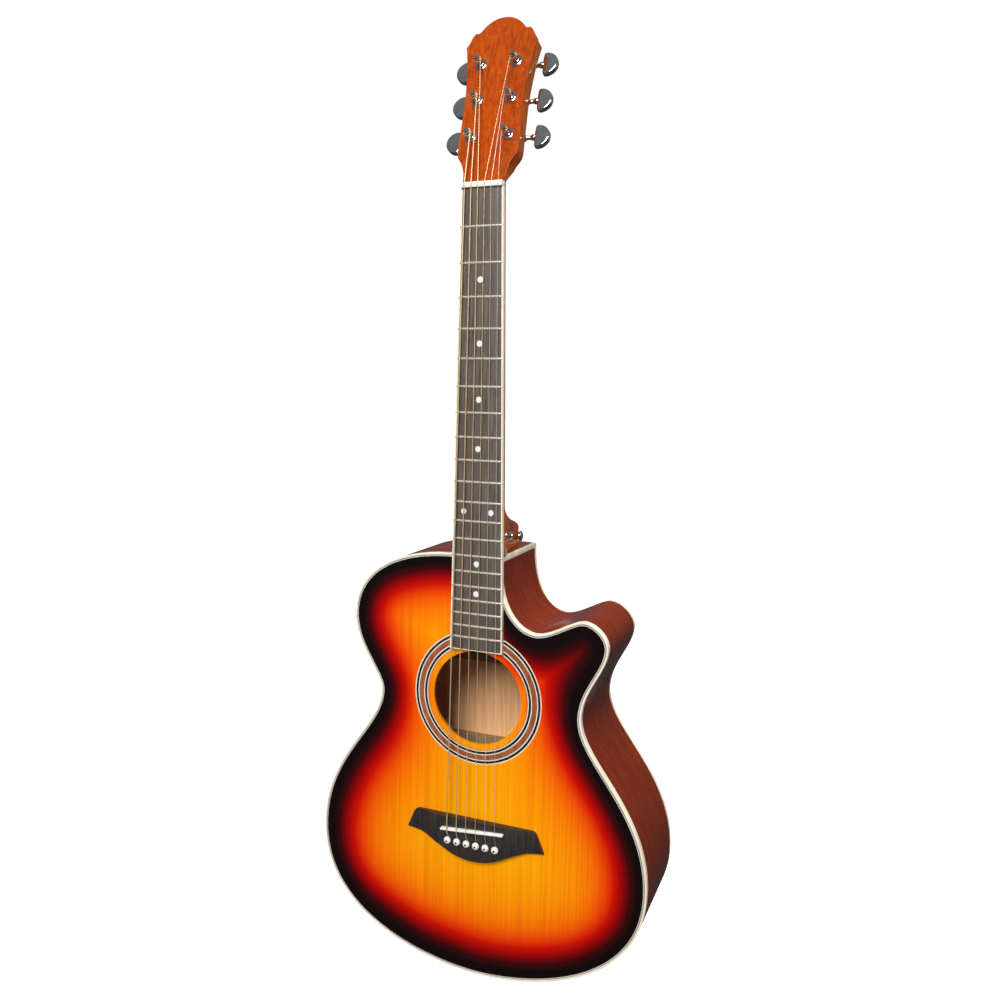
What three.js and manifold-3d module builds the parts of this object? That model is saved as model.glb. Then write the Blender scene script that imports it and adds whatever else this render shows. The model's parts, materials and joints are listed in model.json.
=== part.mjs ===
// Steel-string acoustic guitar with a cutaway, modelled in millimetres with +Z up.
// The guitar stands upright with its soundboard facing -Y and its treble side towards +X.
// The origin is the centre of the end pin's outer face, the lowest point of the guitar.
// Inside the file, "station" is the distance down from the nut's front edge, towards the tail.
import * as THREE from 'three';
import { mergeVertices } from 'three/addons/utils/BufferGeometryUtils.js';
import Module from 'manifold-3d';

const wasm = await Module();
wasm.setup();

// ---------- Driving dimensions ----------
const SCALE_LENGTH = 648;
const BODY_FRET = 14;
const FRETS = 20;

const BODY_LENGTH = 455.4;
const LOWER_BOUT = 369;
const LOWER_BOUT_AT = 323.4;
const WAIST = 224.4;
const WAIST_AT = 155.1;
const UPPER_BOUT = 288;
const UPPER_BOUT_AT = 76.4;
const NECK_END_DEPTH = 105;
const TAIL_END_DEPTH = 121;
const BACK_ARCH = 3.5;

const TOP_THICKNESS = 2.8;
const BACK_THICKNESS = 2.8;
const SIDE_THICKNESS = 2.2;
const BINDING_HEIGHT = 6;
const LINING_WIDTH = 6;
const LINING_HEIGHT = 12;
const GLUE_GAP = 0.2;

const CUTAWAY_CORNER_X = 24;
const CUTAWAY_FLOOR_X = 62.9;
const CUTAWAY_FLOOR_AT = 74.5;
const HORN_TIP_X = 112.4;
const HORN_TIP_AT = 56.3;
const HORN_SIDE_X = 138;
const HORN_SIDE_AT = 81.3;

const SOUNDHOLE_RADIUS = 49.2;
const ROSETTE_RADIUS = 71;
const ROSETTE_INNER_RADIUS = 55;
const ROSETTE_DEPTH = 1;
const BOARD_TO_SOUNDHOLE = 1.6;

const BOARD_THICKNESS = 6;
const BOARD_EDGE_THICKNESS = 5.2;
const BOARD_PAST_LAST_FRET = 14;
const BOARD_BINDING = 1.4;
const NUT_WIDTH = 43.4;
const BOARD_END_WIDTH = 57.8;
const NUT_THICKNESS = 5;
const STRING_OVER_BOARD = 1.5;
const NUT_OVER_STRING = 0.9;
const NECK_THICKNESS = 15;
const HEEL_SHORT_OF_BACK = 9;
const HEEL_HALF_WIDTH = 12.5;
const THROAT_HEIGHT = 27;
const HEEL_LENGTH = 52;
const HEEL_CAP_LENGTH = 18;
const CROSSING_BELOW_SOUNDHOLE = 86.5;

const HEAD_TILT = THREE.MathUtils.degToRad(16);
const HEAD_THICKNESS = 15;
const VENEER_THICKNESS = 1.5;
const HEAD_FACE_Y = -2.5;

const BRIDGE_HEIGHT = 8;
const BRIDGE_AHEAD_OF_SADDLE = 10.5;
const BRIDGE_TOP_HALF = 68.5;
const BRIDGE_TIP_HALF = 77.5;
const BRIDGE_TIP_DROP = 22;
const BRIDGE_BELLY_DROP = 44;
const SADDLE_LENGTH = 71;
const SADDLE_THICKNESS = 3;
const SADDLE_SLANT = THREE.MathUtils.degToRad(4.6);
const SADDLE_COMPENSATION = 2;
const SADDLE_RISE = 3.6;
const PINS_BEHIND_SADDLE = 14.3;
const PIN_SPACING = 10.8;
const PIN_SHANK_RADIUS = 2.3;
const PIN_CLEARANCE = 0.4;
const PIN_HEAD_RADIUS = 3.9;

const NUT_STRING_SPACING = 7;
const STRING_RADII = [0.67, 0.53, 0.41, 0.31, 0.22, 0.18];

const POSTS = [
  { along: 48, x: 19.4 },
  { along: 86.3, x: 17.6 },
  { along: 124.3, x: 18.7 },
];
const POST_RADIUS = 3;
const POST_WAIST_RADIUS = 2.3;
const POST_HEIGHT = 14;
const POST_CLEARANCE = 0.4;
const SLEEVE_WALL = 1.5;
const SLEEVE_CLEARANCE = 0.5;
const HOUSING_WALL = 2.2;
const HOUSING_DEPTH = 10.4;
const WHEEL_RADIUS = 4;
const WHEEL_THICKNESS = 4.4;
const WORM_RADIUS = 1.7;
const GEAR_CLEARANCE = 0.3;
const KEY_REACH = 46.5;

const ROD_RADIUS = 2.5;
const ROD_CLEARANCE = 0.5;

const END_PIN_LENGTH = 12;
const STRAP_RISE = 17;
const STRAP_DEPTH = 35;

// ---------- Derived places ----------
const fretStation = (fret) => SCALE_LENGTH * (1 - 2 ** (-fret / 12));
const JOIN = fretStation(BODY_FRET);
const TAIL = JOIN + BODY_LENGTH;
const NUT_Z = TAIL + END_PIN_LENGTH;
const HEEL_DEPTH = NECK_END_DEPTH - HEEL_SHORT_OF_BACK;
const BOARD_LENGTH = fretStation(FRETS) + BOARD_PAST_LAST_FRET;
const SOUNDHOLE_STATION = BOARD_LENGTH + BOARD_TO_SOUNDHOLE + SOUNDHOLE_RADIUS;
const STRING_AT_NUT = BOARD_THICKNESS + STRING_OVER_BOARD;
const NUT_HEIGHT = STRING_AT_NUT + NUT_OVER_STRING;
const SADDLE_STATION = SCALE_LENGTH + SADDLE_COMPENSATION;
const SADDLE_TOP = BRIDGE_HEIGHT + SADDLE_RISE;
const BRIDGE_TOP_STATION = SADDLE_STATION - BRIDGE_AHEAD_OF_SADDLE;
const PIN_STATION = SADDLE_STATION + PINS_BEHIND_SADDLE;
const PIN_HOLE_RADIUS = PIN_SHANK_RADIUS + PIN_CLEARANCE;
const STRING_RUN = PIN_HOLE_RADIUS + STRING_RADII[0];
const SLEEVE_RADIUS = POST_RADIUS + POST_CLEARANCE + SLEEVE_WALL;
const WORM_OFFSET = WHEEL_RADIUS + WORM_RADIUS + GEAR_CLEARANCE;
const HEAD_BACK = HEAD_THICKNESS + GLUE_GAP;
const WHEEL_FRONT = HEAD_BACK + HOUSING_WALL + GEAR_CLEARANCE;
const WORM_DEPTH = WHEEL_FRONT + WHEEL_THICKNESS / 2 + GEAR_CLEARANCE;
const ROD_DEPTH = BINDING_HEIGHT + ROD_RADIUS + ROD_CLEARANCE;
const TAPER = (TAIL_END_DEPTH - NECK_END_DEPTH) / BODY_LENGTH;
const backDepth = (station) => NECK_END_DEPTH + TAPER * (station - JOIN);
const FACE_Y = -backDepth(TAIL) / 2;
const boardHalf = (station) =>
  (NUT_WIDTH + ((BOARD_END_WIDTH - NUT_WIDTH) * station) / BOARD_LENGTH) / 2;

// ---------- Colours ----------
const finish = (color, roughness, metalness = 0) =>
  new THREE.MeshStandardMaterial({ color, roughness, metalness });
const AMBER_SPRUCE = 0xf29a16;
const RED_MAHOGANY = 0x8a2f10;
const HEAD_MAHOGANY = 0xb3410a;
const ROSEWOOD = 0x453a36;
const CREAM = 0xf3e8cf;
const PALE_WOOD = 0xc89a6a;
const CHROME = 0xc9cbce;
const BRONZE = 0xb98a4e;
const BONE = 0xf4f2ea;

// ---------- Groups ----------
const guitar = new THREE.Group();
const body = new THREE.Group();
body.position.set(0, FACE_Y, NUT_Z);
guitar.add(body);
const head = new THREE.Group();
head.position.set(0, HEAD_FACE_Y, NUT_THICKNESS);
head.rotation.x = -HEAD_TILT;
body.add(head);

function addPiece(parent, name, geometry, material) {
  const mesh = new THREE.Mesh(geometry, material);
  mesh.name = name;
  parent.add(mesh);
  return mesh;
}

// ---------- Solid helpers ----------
function toSolid(geometry) {
  const bare = geometry.clone();
  bare.deleteAttribute('normal');
  bare.deleteAttribute('uv');
  const merged = mergeVertices(bare, 1e-4);
  return new wasm.Manifold(new wasm.Mesh({
    numProp: 3,
    vertProperties: new Float32Array(merged.attributes.position.array),
    triVerts: new Uint32Array(merged.index.array),
  }));
}

function toGeometry(solid) {
  const mesh = solid.getMesh();
  const geometry = new THREE.BufferGeometry();
  const positions = new Float32Array(mesh.vertProperties);
  geometry.setAttribute('position', new THREE.BufferAttribute(positions, 3));
  geometry.setIndex(new THREE.BufferAttribute(new Uint32Array(mesh.triVerts), 1));
  geometry.computeVertexNormals();
  return geometry;
}

// Extrudes an outline drawn in (x, station) between two depths, front and back.
function slab(outline, front, back, holes = []) {
  const flat = (points) => {
    const drawn = points.map(([x, station]) => new THREE.Vector2(x, -station));
    return THREE.ShapeUtils.isClockWise(drawn) ? drawn.reverse() : drawn;
  };
  const shape = new THREE.Shape(flat(outline));
  shape.holes = holes.map((hole) => new THREE.Path(flat(hole)));
  const geometry = new THREE.ExtrudeGeometry(shape, { depth: back - front, bevelEnabled: false });
  geometry.rotateX(Math.PI / 2);
  geometry.translate(0, back, 0);
  return geometry;
}

function boxAt(x0, x1, y0, y1, station0, station1) {
  const geometry = new THREE.BoxGeometry(x1 - x0, y1 - y0, station1 - station0);
  return geometry.translate((x0 + x1) / 2, (y0 + y1) / 2, -(station0 + station1) / 2);
}

function circle(cx, cs, radius, sides) {
  return Array.from({ length: sides }, (_, i) => {
    const angle = (2 * Math.PI * i) / sides;
    return [cx + radius * Math.cos(angle), cs + radius * Math.sin(angle)];
  });
}

// A lathe solid whose axis is Y: the profile is a list of [radius, y] from one axis end to the other.
function turned(profile, sides) {
  const points = profile.map(([radius, y]) => new THREE.Vector2(radius, -y));
  const geometry = new THREE.LatheGeometry(points, sides);
  return geometry.rotateX(Math.PI);
}

// Moves every vertex of a geometry to where the rule puts it.
function sculpt(geometry, rule) {
  const position = geometry.attributes.position;
  const point = new THREE.Vector3();
  for (let i = 0; i < position.count; i += 1) {
    rule(point.fromBufferAttribute(position, i));
    position.setXYZ(i, point.x, point.y, point.z);
  }
  geometry.computeVertexNormals();
  return geometry;
}

// A round rod that follows a list of points, closed at both ends.
function rodAlong(points, radius, sides) {
  const rows = points.length - 1;
  const frames = [];
  let side = new THREE.Vector3(1, 0, 0);
  points.forEach((point, i) => {
    const before = points[Math.max(i - 1, 0)];
    const after = points[Math.min(i + 1, rows)];
    const toHere = point.clone().sub(before).normalize();
    const onward = after.clone().sub(point).normalize();
    const along = toHere.add(onward).normalize();
    side = side.clone().addScaledVector(along, -side.dot(along)).normalize();
    frames.push({ point, side, other: along.clone().cross(side) });
  });
  const geometry = new THREE.CylinderGeometry(radius, radius, rows, sides, rows, false);
  return sculpt(geometry, (vertex) => {
    const { point, side: across, other } = frames[Math.round(rows / 2 + vertex.y)];
    const { x, z } = vertex;
    vertex.copy(point).addScaledVector(across, x).addScaledVector(other, -z);
  });
}

// ---------- Body outline ----------
function bezier(from, handleA, handleB, to, steps) {
  const curve = new THREE.CubicBezierCurve(
    ...[from, handleA, handleB, to].map(([x, station]) => new THREE.Vector2(x, station)),
  );
  return curve.getPoints(steps).slice(0, -1).map((point) => [point.x, point.y]);
}

const lowerHalf = LOWER_BOUT / 2;
const waistHalf = WAIST / 2;
const upperHalf = UPPER_BOUT / 2;
const lowerAt = JOIN + LOWER_BOUT_AT;
const waistAt = JOIN + WAIST_AT;
const upperAt = JOIN + UPPER_BOUT_AT;
const tailHandle = 0.362 * lowerHalf;
const lowerDrop = 0.774 * (TAIL - lowerAt);
const lowerRise = 0.51 * (lowerAt - waistAt);
const waistDrop = 0.258 * (lowerAt - waistAt);
const waistRise = 0.212 * (waistAt - upperAt);
const upperDrop = 0.438 * (waistAt - upperAt);
const upperRise = 0.692 * (upperAt - JOIN);
const shoulderX = 0.194 * upperHalf;
const shoulderHandle = 0.429 * upperHalf;

// The bass edge runs from the corner of the cutaway over the shoulder and down to the tail.
const bassEdge = [
  [CUTAWAY_CORNER_X, JOIN],
  ...bezier([-shoulderX, JOIN], [-shoulderX - shoulderHandle, JOIN],
    [-upperHalf, upperAt - upperRise], [-upperHalf, upperAt], 8),
  ...bezier([-upperHalf, upperAt], [-upperHalf, upperAt + upperDrop],
    [-waistHalf, waistAt - waistRise], [-waistHalf, waistAt], 6),
  ...bezier([-waistHalf, waistAt], [-waistHalf, waistAt + waistDrop],
    [-lowerHalf, lowerAt - lowerRise], [-lowerHalf, lowerAt], 8),
  ...bezier([-lowerHalf, lowerAt], [-lowerHalf, lowerAt + lowerDrop],
    [-tailHandle, TAIL], [0, TAIL], 9),
];
const cutFloorAt = JOIN + CUTAWAY_FLOOR_AT;
const hornTipAt = JOIN + HORN_TIP_AT;
const hornSideAt = JOIN + HORN_SIDE_AT;
// The treble edge runs from the tail up over the waist, the horn and the cutaway.
const trebleEdge = [
  ...bezier([0, TAIL], [tailHandle, TAIL],
    [lowerHalf, lowerAt + lowerDrop], [lowerHalf, lowerAt], 9),
  ...bezier([lowerHalf, lowerAt], [lowerHalf, lowerAt - lowerRise],
    [waistHalf, waistAt + waistDrop], [waistHalf, waistAt], 8),
  ...bezier([waistHalf, waistAt], [waistHalf, waistAt - 30],
    [HORN_SIDE_X, hornSideAt + 23], [HORN_SIDE_X, hornSideAt], 6),
  ...bezier([HORN_SIDE_X, hornSideAt], [HORN_SIDE_X, hornSideAt - 13],
    [HORN_TIP_X + 11, hornTipAt], [HORN_TIP_X, hornTipAt], 6),
  ...bezier([HORN_TIP_X, hornTipAt], [HORN_TIP_X - 12, hornTipAt],
    [CUTAWAY_FLOOR_X + 16, cutFloorAt], [CUTAWAY_FLOOR_X, cutFloorAt], 4),
  ...bezier([CUTAWAY_FLOOR_X, cutFloorAt], [CUTAWAY_FLOOR_X - 12, cutFloorAt],
    [CUTAWAY_CORNER_X, JOIN + BINDING_HEIGHT + 56], [CUTAWAY_CORNER_X, JOIN + BINDING_HEIGHT], 8),
  [CUTAWAY_CORNER_X, JOIN + BINDING_HEIGHT],
];
const bodyEdge = [...bassEdge, ...trebleEdge];

// Moves a closed outline inwards, with mitred corners.
function inset(outline, distance) {
  const count = outline.length;
  return outline.map(([x, station], i) => {
    const [xa, sa] = outline[(i + count - 1) % count];
    const [xb, sb] = outline[(i + 1) % count];
    const first = new THREE.Vector2(x - xa, station - sa).normalize();
    const second = new THREE.Vector2(xb - x, sb - station).normalize();
    const normal = new THREE.Vector2(first.y + second.y, -first.x - second.x).normalize();
    const reach = distance / (normal.x * first.y - normal.y * first.x);
    return [x + normal.x * reach, station + normal.y * reach];
  });
}

const innerEdge = inset(bodyEdge, SIDE_THICKNESS);
const plateEdge = inset(bodyEdge, SIDE_THICKNESS + GLUE_GAP);
const liningEdge = inset(bodyEdge, SIDE_THICKNESS + LINING_WIDTH);

// Everything in front of the arched and tapered back, held back from it by a margin.
function insideBack(margin) {
  const half = lowerHalf + 20;
  const rise = (x) => BACK_ARCH * (1 - (x / lowerHalf) ** 2);
  const steps = 8;
  const profile = [new THREE.Vector2(half, 200), new THREE.Vector2(-half, 200)];
  for (let i = 0; i <= steps; i += 1) {
    const x = -half + (2 * half * i) / steps;
    profile.push(new THREE.Vector2(x, -rise(x) + BACK_ARCH));
  }
  const length = BODY_LENGTH + 60;
  const geometry = new THREE.ExtrudeGeometry(new THREE.Shape(profile), {
    depth: length,
    bevelEnabled: false,
  });
  geometry.rotateX(Math.PI);
  geometry.rotateX(Math.atan(TAPER));
  const start = JOIN - 30;
  geometry.translate(0, backDepth(start) - margin, -start);
  return toSolid(geometry);
}

const ring = (outer, inner, front, back) => toSolid(slab(outer, front, back, [inner]));
const DEEP = TAIL_END_DEPTH + 20;

// ---------- Body pieces ----------
function stringX(index, spacing) {
  return (index - 2.5) * spacing;
}

function pinHoles() {
  let cutter = null;
  STRING_RADII.forEach((radius, i) => {
    const x = stringX(i, PIN_SPACING);
    const hole = toSolid(slab(circle(x, PIN_STATION, PIN_HOLE_RADIUS, 10), -20, 20));
    const half = radius + PIN_CLEARANCE;
    const slot = toSolid(boxAt(x - half, x + half, -20, 20,
      PIN_STATION - STRING_RUN - radius - PIN_CLEARANCE, PIN_STATION));
    cutter = cutter ? cutter.add(hole).add(slot) : hole.add(slot);
  });
  return cutter;
}
const pinCutter = pinHoles();
const passage = ROD_RADIUS + 2 * ROD_CLEARANCE;
const rodPassage = toSolid(boxAt(-passage, passage, ROD_DEPTH - passage, ROD_DEPTH + passage,
  JOIN - 5, JOIN + 60));

function buildBody() {
  const hole = circle(0, SOUNDHOLE_STATION, SOUNDHOLE_RADIUS, 36);
  const groove = ring(circle(0, SOUNDHOLE_STATION, ROSETTE_RADIUS + GLUE_GAP, 36),
    circle(0, SOUNDHOLE_STATION, ROSETTE_INNER_RADIUS - GLUE_GAP, 36), -1, ROSETTE_DEPTH + GLUE_GAP);
  const top = toSolid(slab(plateEdge, 0, TOP_THICKNESS, [hole])).subtract(groove).subtract(pinCutter);
  addPiece(body, 'soundboard', toGeometry(top), finish(AMBER_SPRUCE, 0.2));
  const rosette = slab(circle(0, SOUNDHOLE_STATION, ROSETTE_RADIUS, 36), 0, ROSETTE_DEPTH,
    [circle(0, SOUNDHOLE_STATION, ROSETTE_INNER_RADIUS, 36)]);
  addPiece(body, 'rosette', rosette, finish(0x8c5238, 0.3));

  const backPlate = toSolid(slab(plateEdge, 60, DEEP))
    .intersect(insideBack(0)).subtract(insideBack(BACK_THICKNESS));
  addPiece(body, 'back_plate', toGeometry(backPlate), finish(RED_MAHOGANY, 0.2));

  addPiece(body, 'front_binding', slab(bodyEdge, 0, BINDING_HEIGHT, [innerEdge]), finish(CREAM, 0.3));
  const backBinding = ring(bodyEdge, innerEdge, 60, DEEP)
    .intersect(insideBack(0)).subtract(insideBack(BINDING_HEIGHT));
  addPiece(body, 'back_binding', toGeometry(backBinding), finish(CREAM, 0.3));

  // Each side runs from the tail to the cutaway corner; the corner strip fills the gap between them.
  const split = bassEdge.length;
  const bassOutline = [...bodyEdge.slice(0, split + 1), ...innerEdge.slice(0, split + 1).reverse()];
  bassOutline[0] = [CUTAWAY_CORNER_X - SIDE_THICKNESS - GLUE_GAP, JOIN];
  bassOutline[bassOutline.length - 1] = [
    CUTAWAY_CORNER_X - SIDE_THICKNESS - GLUE_GAP, JOIN + SIDE_THICKNESS];
  const startAt = split;
  const trebleOutline = [...bodyEdge.slice(startAt), ...innerEdge.slice(startAt).reverse()];
  const last = bodyEdge.length - startAt - 1;
  trebleOutline[last] = [CUTAWAY_CORNER_X, JOIN + BINDING_HEIGHT + GLUE_GAP];
  trebleOutline[last + 1] = [CUTAWAY_CORNER_X - SIDE_THICKNESS, JOIN + BINDING_HEIGHT + GLUE_GAP];
  trebleOutline[0] = [GLUE_GAP, TAIL];
  trebleOutline[trebleOutline.length - 1] = [GLUE_GAP, TAIL - SIDE_THICKNESS];
  const sideFront = BINDING_HEIGHT;
  const sideBack = insideBack(BINDING_HEIGHT + GLUE_GAP);
  const pinHole = toSolid(new THREE.CylinderGeometry(4.4, 4.4, 30, 12).rotateX(Math.PI / 2)
    .translate(0, -FACE_Y, -TAIL));
  const bass = toSolid(slab(bassOutline, sideFront, DEEP)).intersect(sideBack);
  addPiece(body, 'bass_side', toGeometry(bass.subtract(rodPassage).subtract(pinHole)),
    finish(RED_MAHOGANY, 0.2));
  const treble = toSolid(slab(trebleOutline, sideFront, DEEP)).intersect(sideBack);
  addPiece(body, 'treble_side', toGeometry(treble.subtract(pinHole)), finish(RED_MAHOGANY, 0.2));
  const strip = toSolid(boxAt(CUTAWAY_CORNER_X - SIDE_THICKNESS, CUTAWAY_CORNER_X,
    BINDING_HEIGHT + GLUE_GAP, DEEP, JOIN, JOIN + BINDING_HEIGHT)).intersect(sideBack);
  addPiece(body, 'cutaway_corner_binding', toGeometry(strip), finish(CREAM, 0.3));

  // Kerfed linings behind both plates.
  const liningOuter = plateEdge;
  const frontLining = ring(liningOuter, liningEdge, TOP_THICKNESS, TOP_THICKNESS + LINING_HEIGHT)
    .subtract(rodPassage);
  addPiece(body, 'front_lining', toGeometry(frontLining), finish(PALE_WOOD, 0.8));
  const lining = ring(liningOuter, liningEdge, 60, DEEP)
    .intersect(insideBack(BACK_THICKNESS + GLUE_GAP))
    .subtract(insideBack(BACK_THICKNESS + LINING_HEIGHT));
  addPiece(body, 'back_lining', toGeometry(lining), finish(PALE_WOOD, 0.8));

  // The end blocks are notched over the linings and stop short of both plates.
  const notchFront = ring(inset(bodyEdge, 1), inset(bodyEdge, SIDE_THICKNESS + LINING_WIDTH + 0.3),
    -1, TOP_THICKNESS + LINING_HEIGHT + 0.3);
  const notchBack = ring(inset(bodyEdge, 1), inset(bodyEdge, SIDE_THICKNESS + LINING_WIDTH + 0.3),
    40, DEEP).subtract(insideBack(BACK_THICKNESS + LINING_HEIGHT + 0.3));
  const inside = toSolid(slab(plateEdge, TOP_THICKNESS, DEEP))
    .intersect(insideBack(BACK_THICKNESS + GLUE_GAP)).subtract(notchFront).subtract(notchBack);
  const neckBlock = toSolid(boxAt(-shoulderX, CUTAWAY_CORNER_X - 10, 0, DEEP, JOIN - 5, JOIN + 40))
    .intersect(inside)
    .subtract(rodPassage);
  addPiece(body, 'neck_block', toGeometry(neckBlock), finish(PALE_WOOD, 0.8));
  const tailBlock = toSolid(boxAt(-32, 32, 0, DEEP, TAIL - 26, TAIL + 5))
    .intersect(inside)
    .subtract(toSolid(new THREE.CylinderGeometry(4.4, 4.4, 80, 12).rotateX(Math.PI / 2)
      .translate(0, -FACE_Y, -TAIL)));
  addPiece(body, 'tail_block', toGeometry(tailBlock), finish(PALE_WOOD, 0.8));
}
buildBody();

// ---------- Braces ----------
function buildBraces() {
  const crossing = SOUNDHOLE_STATION + CROSSING_BELOW_SOUNDHOLE;
  const lean = Math.atan2(0.68, 0.73);
  const barWidth = 8;
  const barFront = TOP_THICKNESS;
  const barBack = TOP_THICKNESS + 12;
  const clear = toSolid(slab(inset(bodyEdge, SIDE_THICKNESS + LINING_WIDTH + 1), 0, DEEP));
  const bar = (sign, front, back, width) => {
    const geometry = new THREE.BoxGeometry(width, back - front, 0.82 * BODY_LENGTH);
    geometry.translate(0, (front + back) / 2, -0.08 * BODY_LENGTH + 22);
    geometry.rotateY(-sign * lean);
    geometry.translate(0, 0, -crossing);
    return toSolid(geometry);
  };
  const limit = toSolid(boxAt(-400, 400, 0, DEEP, waistAt - 32, TAIL - 72));
  const middle = (barFront + barBack) / 2;
  const fit = barWidth + 0.6;
  const bass = bar(1, barFront, barBack, barWidth)
    .subtract(bar(-1, middle - 0.3, barBack + 1, fit)).intersect(limit).intersect(clear);
  const treble = bar(-1, barFront, barBack, barWidth)
    .subtract(bar(1, barFront - 1, middle + 0.3, fit)).intersect(limit).intersect(clear);
  addPiece(body, 'x_brace_bass', toGeometry(bass), finish(PALE_WOOD, 0.8));
  addPiece(body, 'x_brace_treble', toGeometry(treble), finish(PALE_WOOD, 0.8));

  const braceAt = SOUNDHOLE_STATION - SOUNDHOLE_RADIUS - 8.6;
  const upper = toSolid(boxAt(-400, 400, TOP_THICKNESS, TOP_THICKNESS + 14, braceAt - 4, braceAt + 4))
    .intersect(clear)
    .subtract(toSolid(new THREE.CylinderGeometry(passage, passage, 40, 12).rotateX(Math.PI / 2)
      .translate(0, ROD_DEPTH, -braceAt)));
  addPiece(body, 'upper_brace', toGeometry(upper), finish(PALE_WOOD, 0.8));

  const plateHalf = 0.83 * BRIDGE_TIP_HALF;
  const plate = toSolid(slab([
    [-plateHalf + 14, PIN_STATION - 16], [plateHalf - 14, PIN_STATION - 16],
    [plateHalf, PIN_STATION + 16], [-plateHalf, PIN_STATION + 16],
  ], TOP_THICKNESS, TOP_THICKNESS + 2.5)).subtract(pinCutter)
    .subtract(bar(1, 0, 20, barWidth + 0.6)).subtract(bar(-1, 0, 20, barWidth + 0.6));
  addPiece(body, 'bridge_plate', toGeometry(plate), finish(0x9a6a44, 0.8));

  [0.3, 0.52, 0.76].forEach((share, i) => {
    const station = JOIN + share * BODY_LENGTH;
    const brace = toSolid(boxAt(-400, 400, 60, DEEP, station - 4, station + 4))
      .intersect(clear).intersect(insideBack(BACK_THICKNESS + GLUE_GAP))
      .subtract(insideBack(BACK_THICKNESS + 13));
    addPiece(body, `back_brace_${i + 1}`, toGeometry(brace), finish(PALE_WOOD, 0.8));
  });
}
buildBraces();

// ---------- Neck, fingerboard and headstock ----------
// Half the headstock outline, as [x, distance along the headstock], from throat to crest.
function headOutline() {
  const half = NUT_WIDTH / 2;
  const path = new THREE.Path();
  path.moveTo(half, 0);
  path.bezierCurveTo(half, 12, half + 3, 20, half + 7.5, 25);
  path.bezierCurveTo(half + 9.5, 28, half + 10.4, 31, half + 10.2, 36);
  path.lineTo(half + 9.3, 82);
  path.bezierCurveTo(half + 9.8, 105, half + 12, 128, half + 15.8, 145);
  path.quadraticCurveTo(half + 12.6, 148, half + 11, 154);
  path.quadraticCurveTo(half + 9.4, 157.6, half + 6.5, 159.6);
  path.quadraticCurveTo(half + 4.4, 158, half + 2, 160);
  path.bezierCurveTo(half - 5, 169.6, half - 13, 173.4, 0, 173.4);
  const right = path.getPoints(5).map((point) => [point.x, point.y]);
  const left = right.slice(0, -1).reverse().map(([x, along]) => [-x, along]);
  return [...right, ...left];
}
const headEdge = headOutline();

// A slab in the headstock's own frame: +Z runs up the headstock and -Y out of its face.
function headSlab(front, back) {
  const bore = SLEEVE_RADIUS + SLEEVE_CLEARANCE;
  let solid = toSolid(slab(headEdge.map(([x, along]) => [x, -along]), front, back));
  POSTS.forEach(({ along, x }) => {
    [-1, 1].forEach((sign) => {
      const hole = slab(circle(sign * x, -along, bore, 10), front - 1, back + 1);
      solid = solid.subtract(toSolid(hole));
    });
  });
  return solid;
}

const smooth = THREE.MathUtils.smoothstep;

// One row of the neck: its front, its depth and how far it has turned into the heel.
function neckRow(station) {
  const headRise = Math.max(-station - NUT_THICKNESS, 0) * Math.tan(HEAD_TILT);
  const front = station < -NUT_THICKNESS ? headRise + HEAD_FACE_Y + VENEER_THICKNESS + 0.6 : 0;
  const heelStart = JOIN - HEEL_LENGTH;
  const heel = smooth(station, heelStart, JOIN - HEEL_CAP_LENGTH);
  const shaft = NECK_THICKNESS + 2.5 * smooth(station, 0, heelStart);
  const back = shaft + Math.max(-station, 0) * 0.26 + (HEEL_DEPTH - shaft) * heel ** 1.5;
  return { front, back, heel, half: boardHalf(Math.max(station, 0)) };
}

// Half the neck's width at a row, at a share of that row's depth.
function neckHalf({ back, heel, half }, share) {
  const waist = HEEL_HALF_WIDTH + (half - HEEL_HALF_WIDTH) * Math.exp(-(((share * back) / 34) ** 2));
  const across = Math.max(1 - share ** (2 + 6 * heel), 0) ** (1 / 2);
  return THREE.MathUtils.lerp(half, waist, heel) * across;
}

// A block with one face on the plane through three points of the headstock's own frame.
function throatCutter(sign) {
  const half = NUT_WIDTH / 2;
  const low = new THREE.Vector3(sign * half, 2, 0);
  const deep = new THREE.Vector3(sign * half * 0.5, HEAD_THICKNESS + 1, 0);
  const high = new THREE.Vector3(sign * (half + 10), HEAD_THICKNESS, THROAT_HEIGHT);
  const along = deep.sub(low).normalize();
  const out = along.clone().cross(high.sub(low)).normalize().multiplyScalar(sign);
  const up = out.clone().cross(along);
  const cutter = new THREE.BoxGeometry(90, 90, 90).translate(0, 0, 45);
  cutter.applyMatrix4(new THREE.Matrix4().makeBasis(along, up, out).setPosition(low));
  return toSolid(cutter);
}

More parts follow.
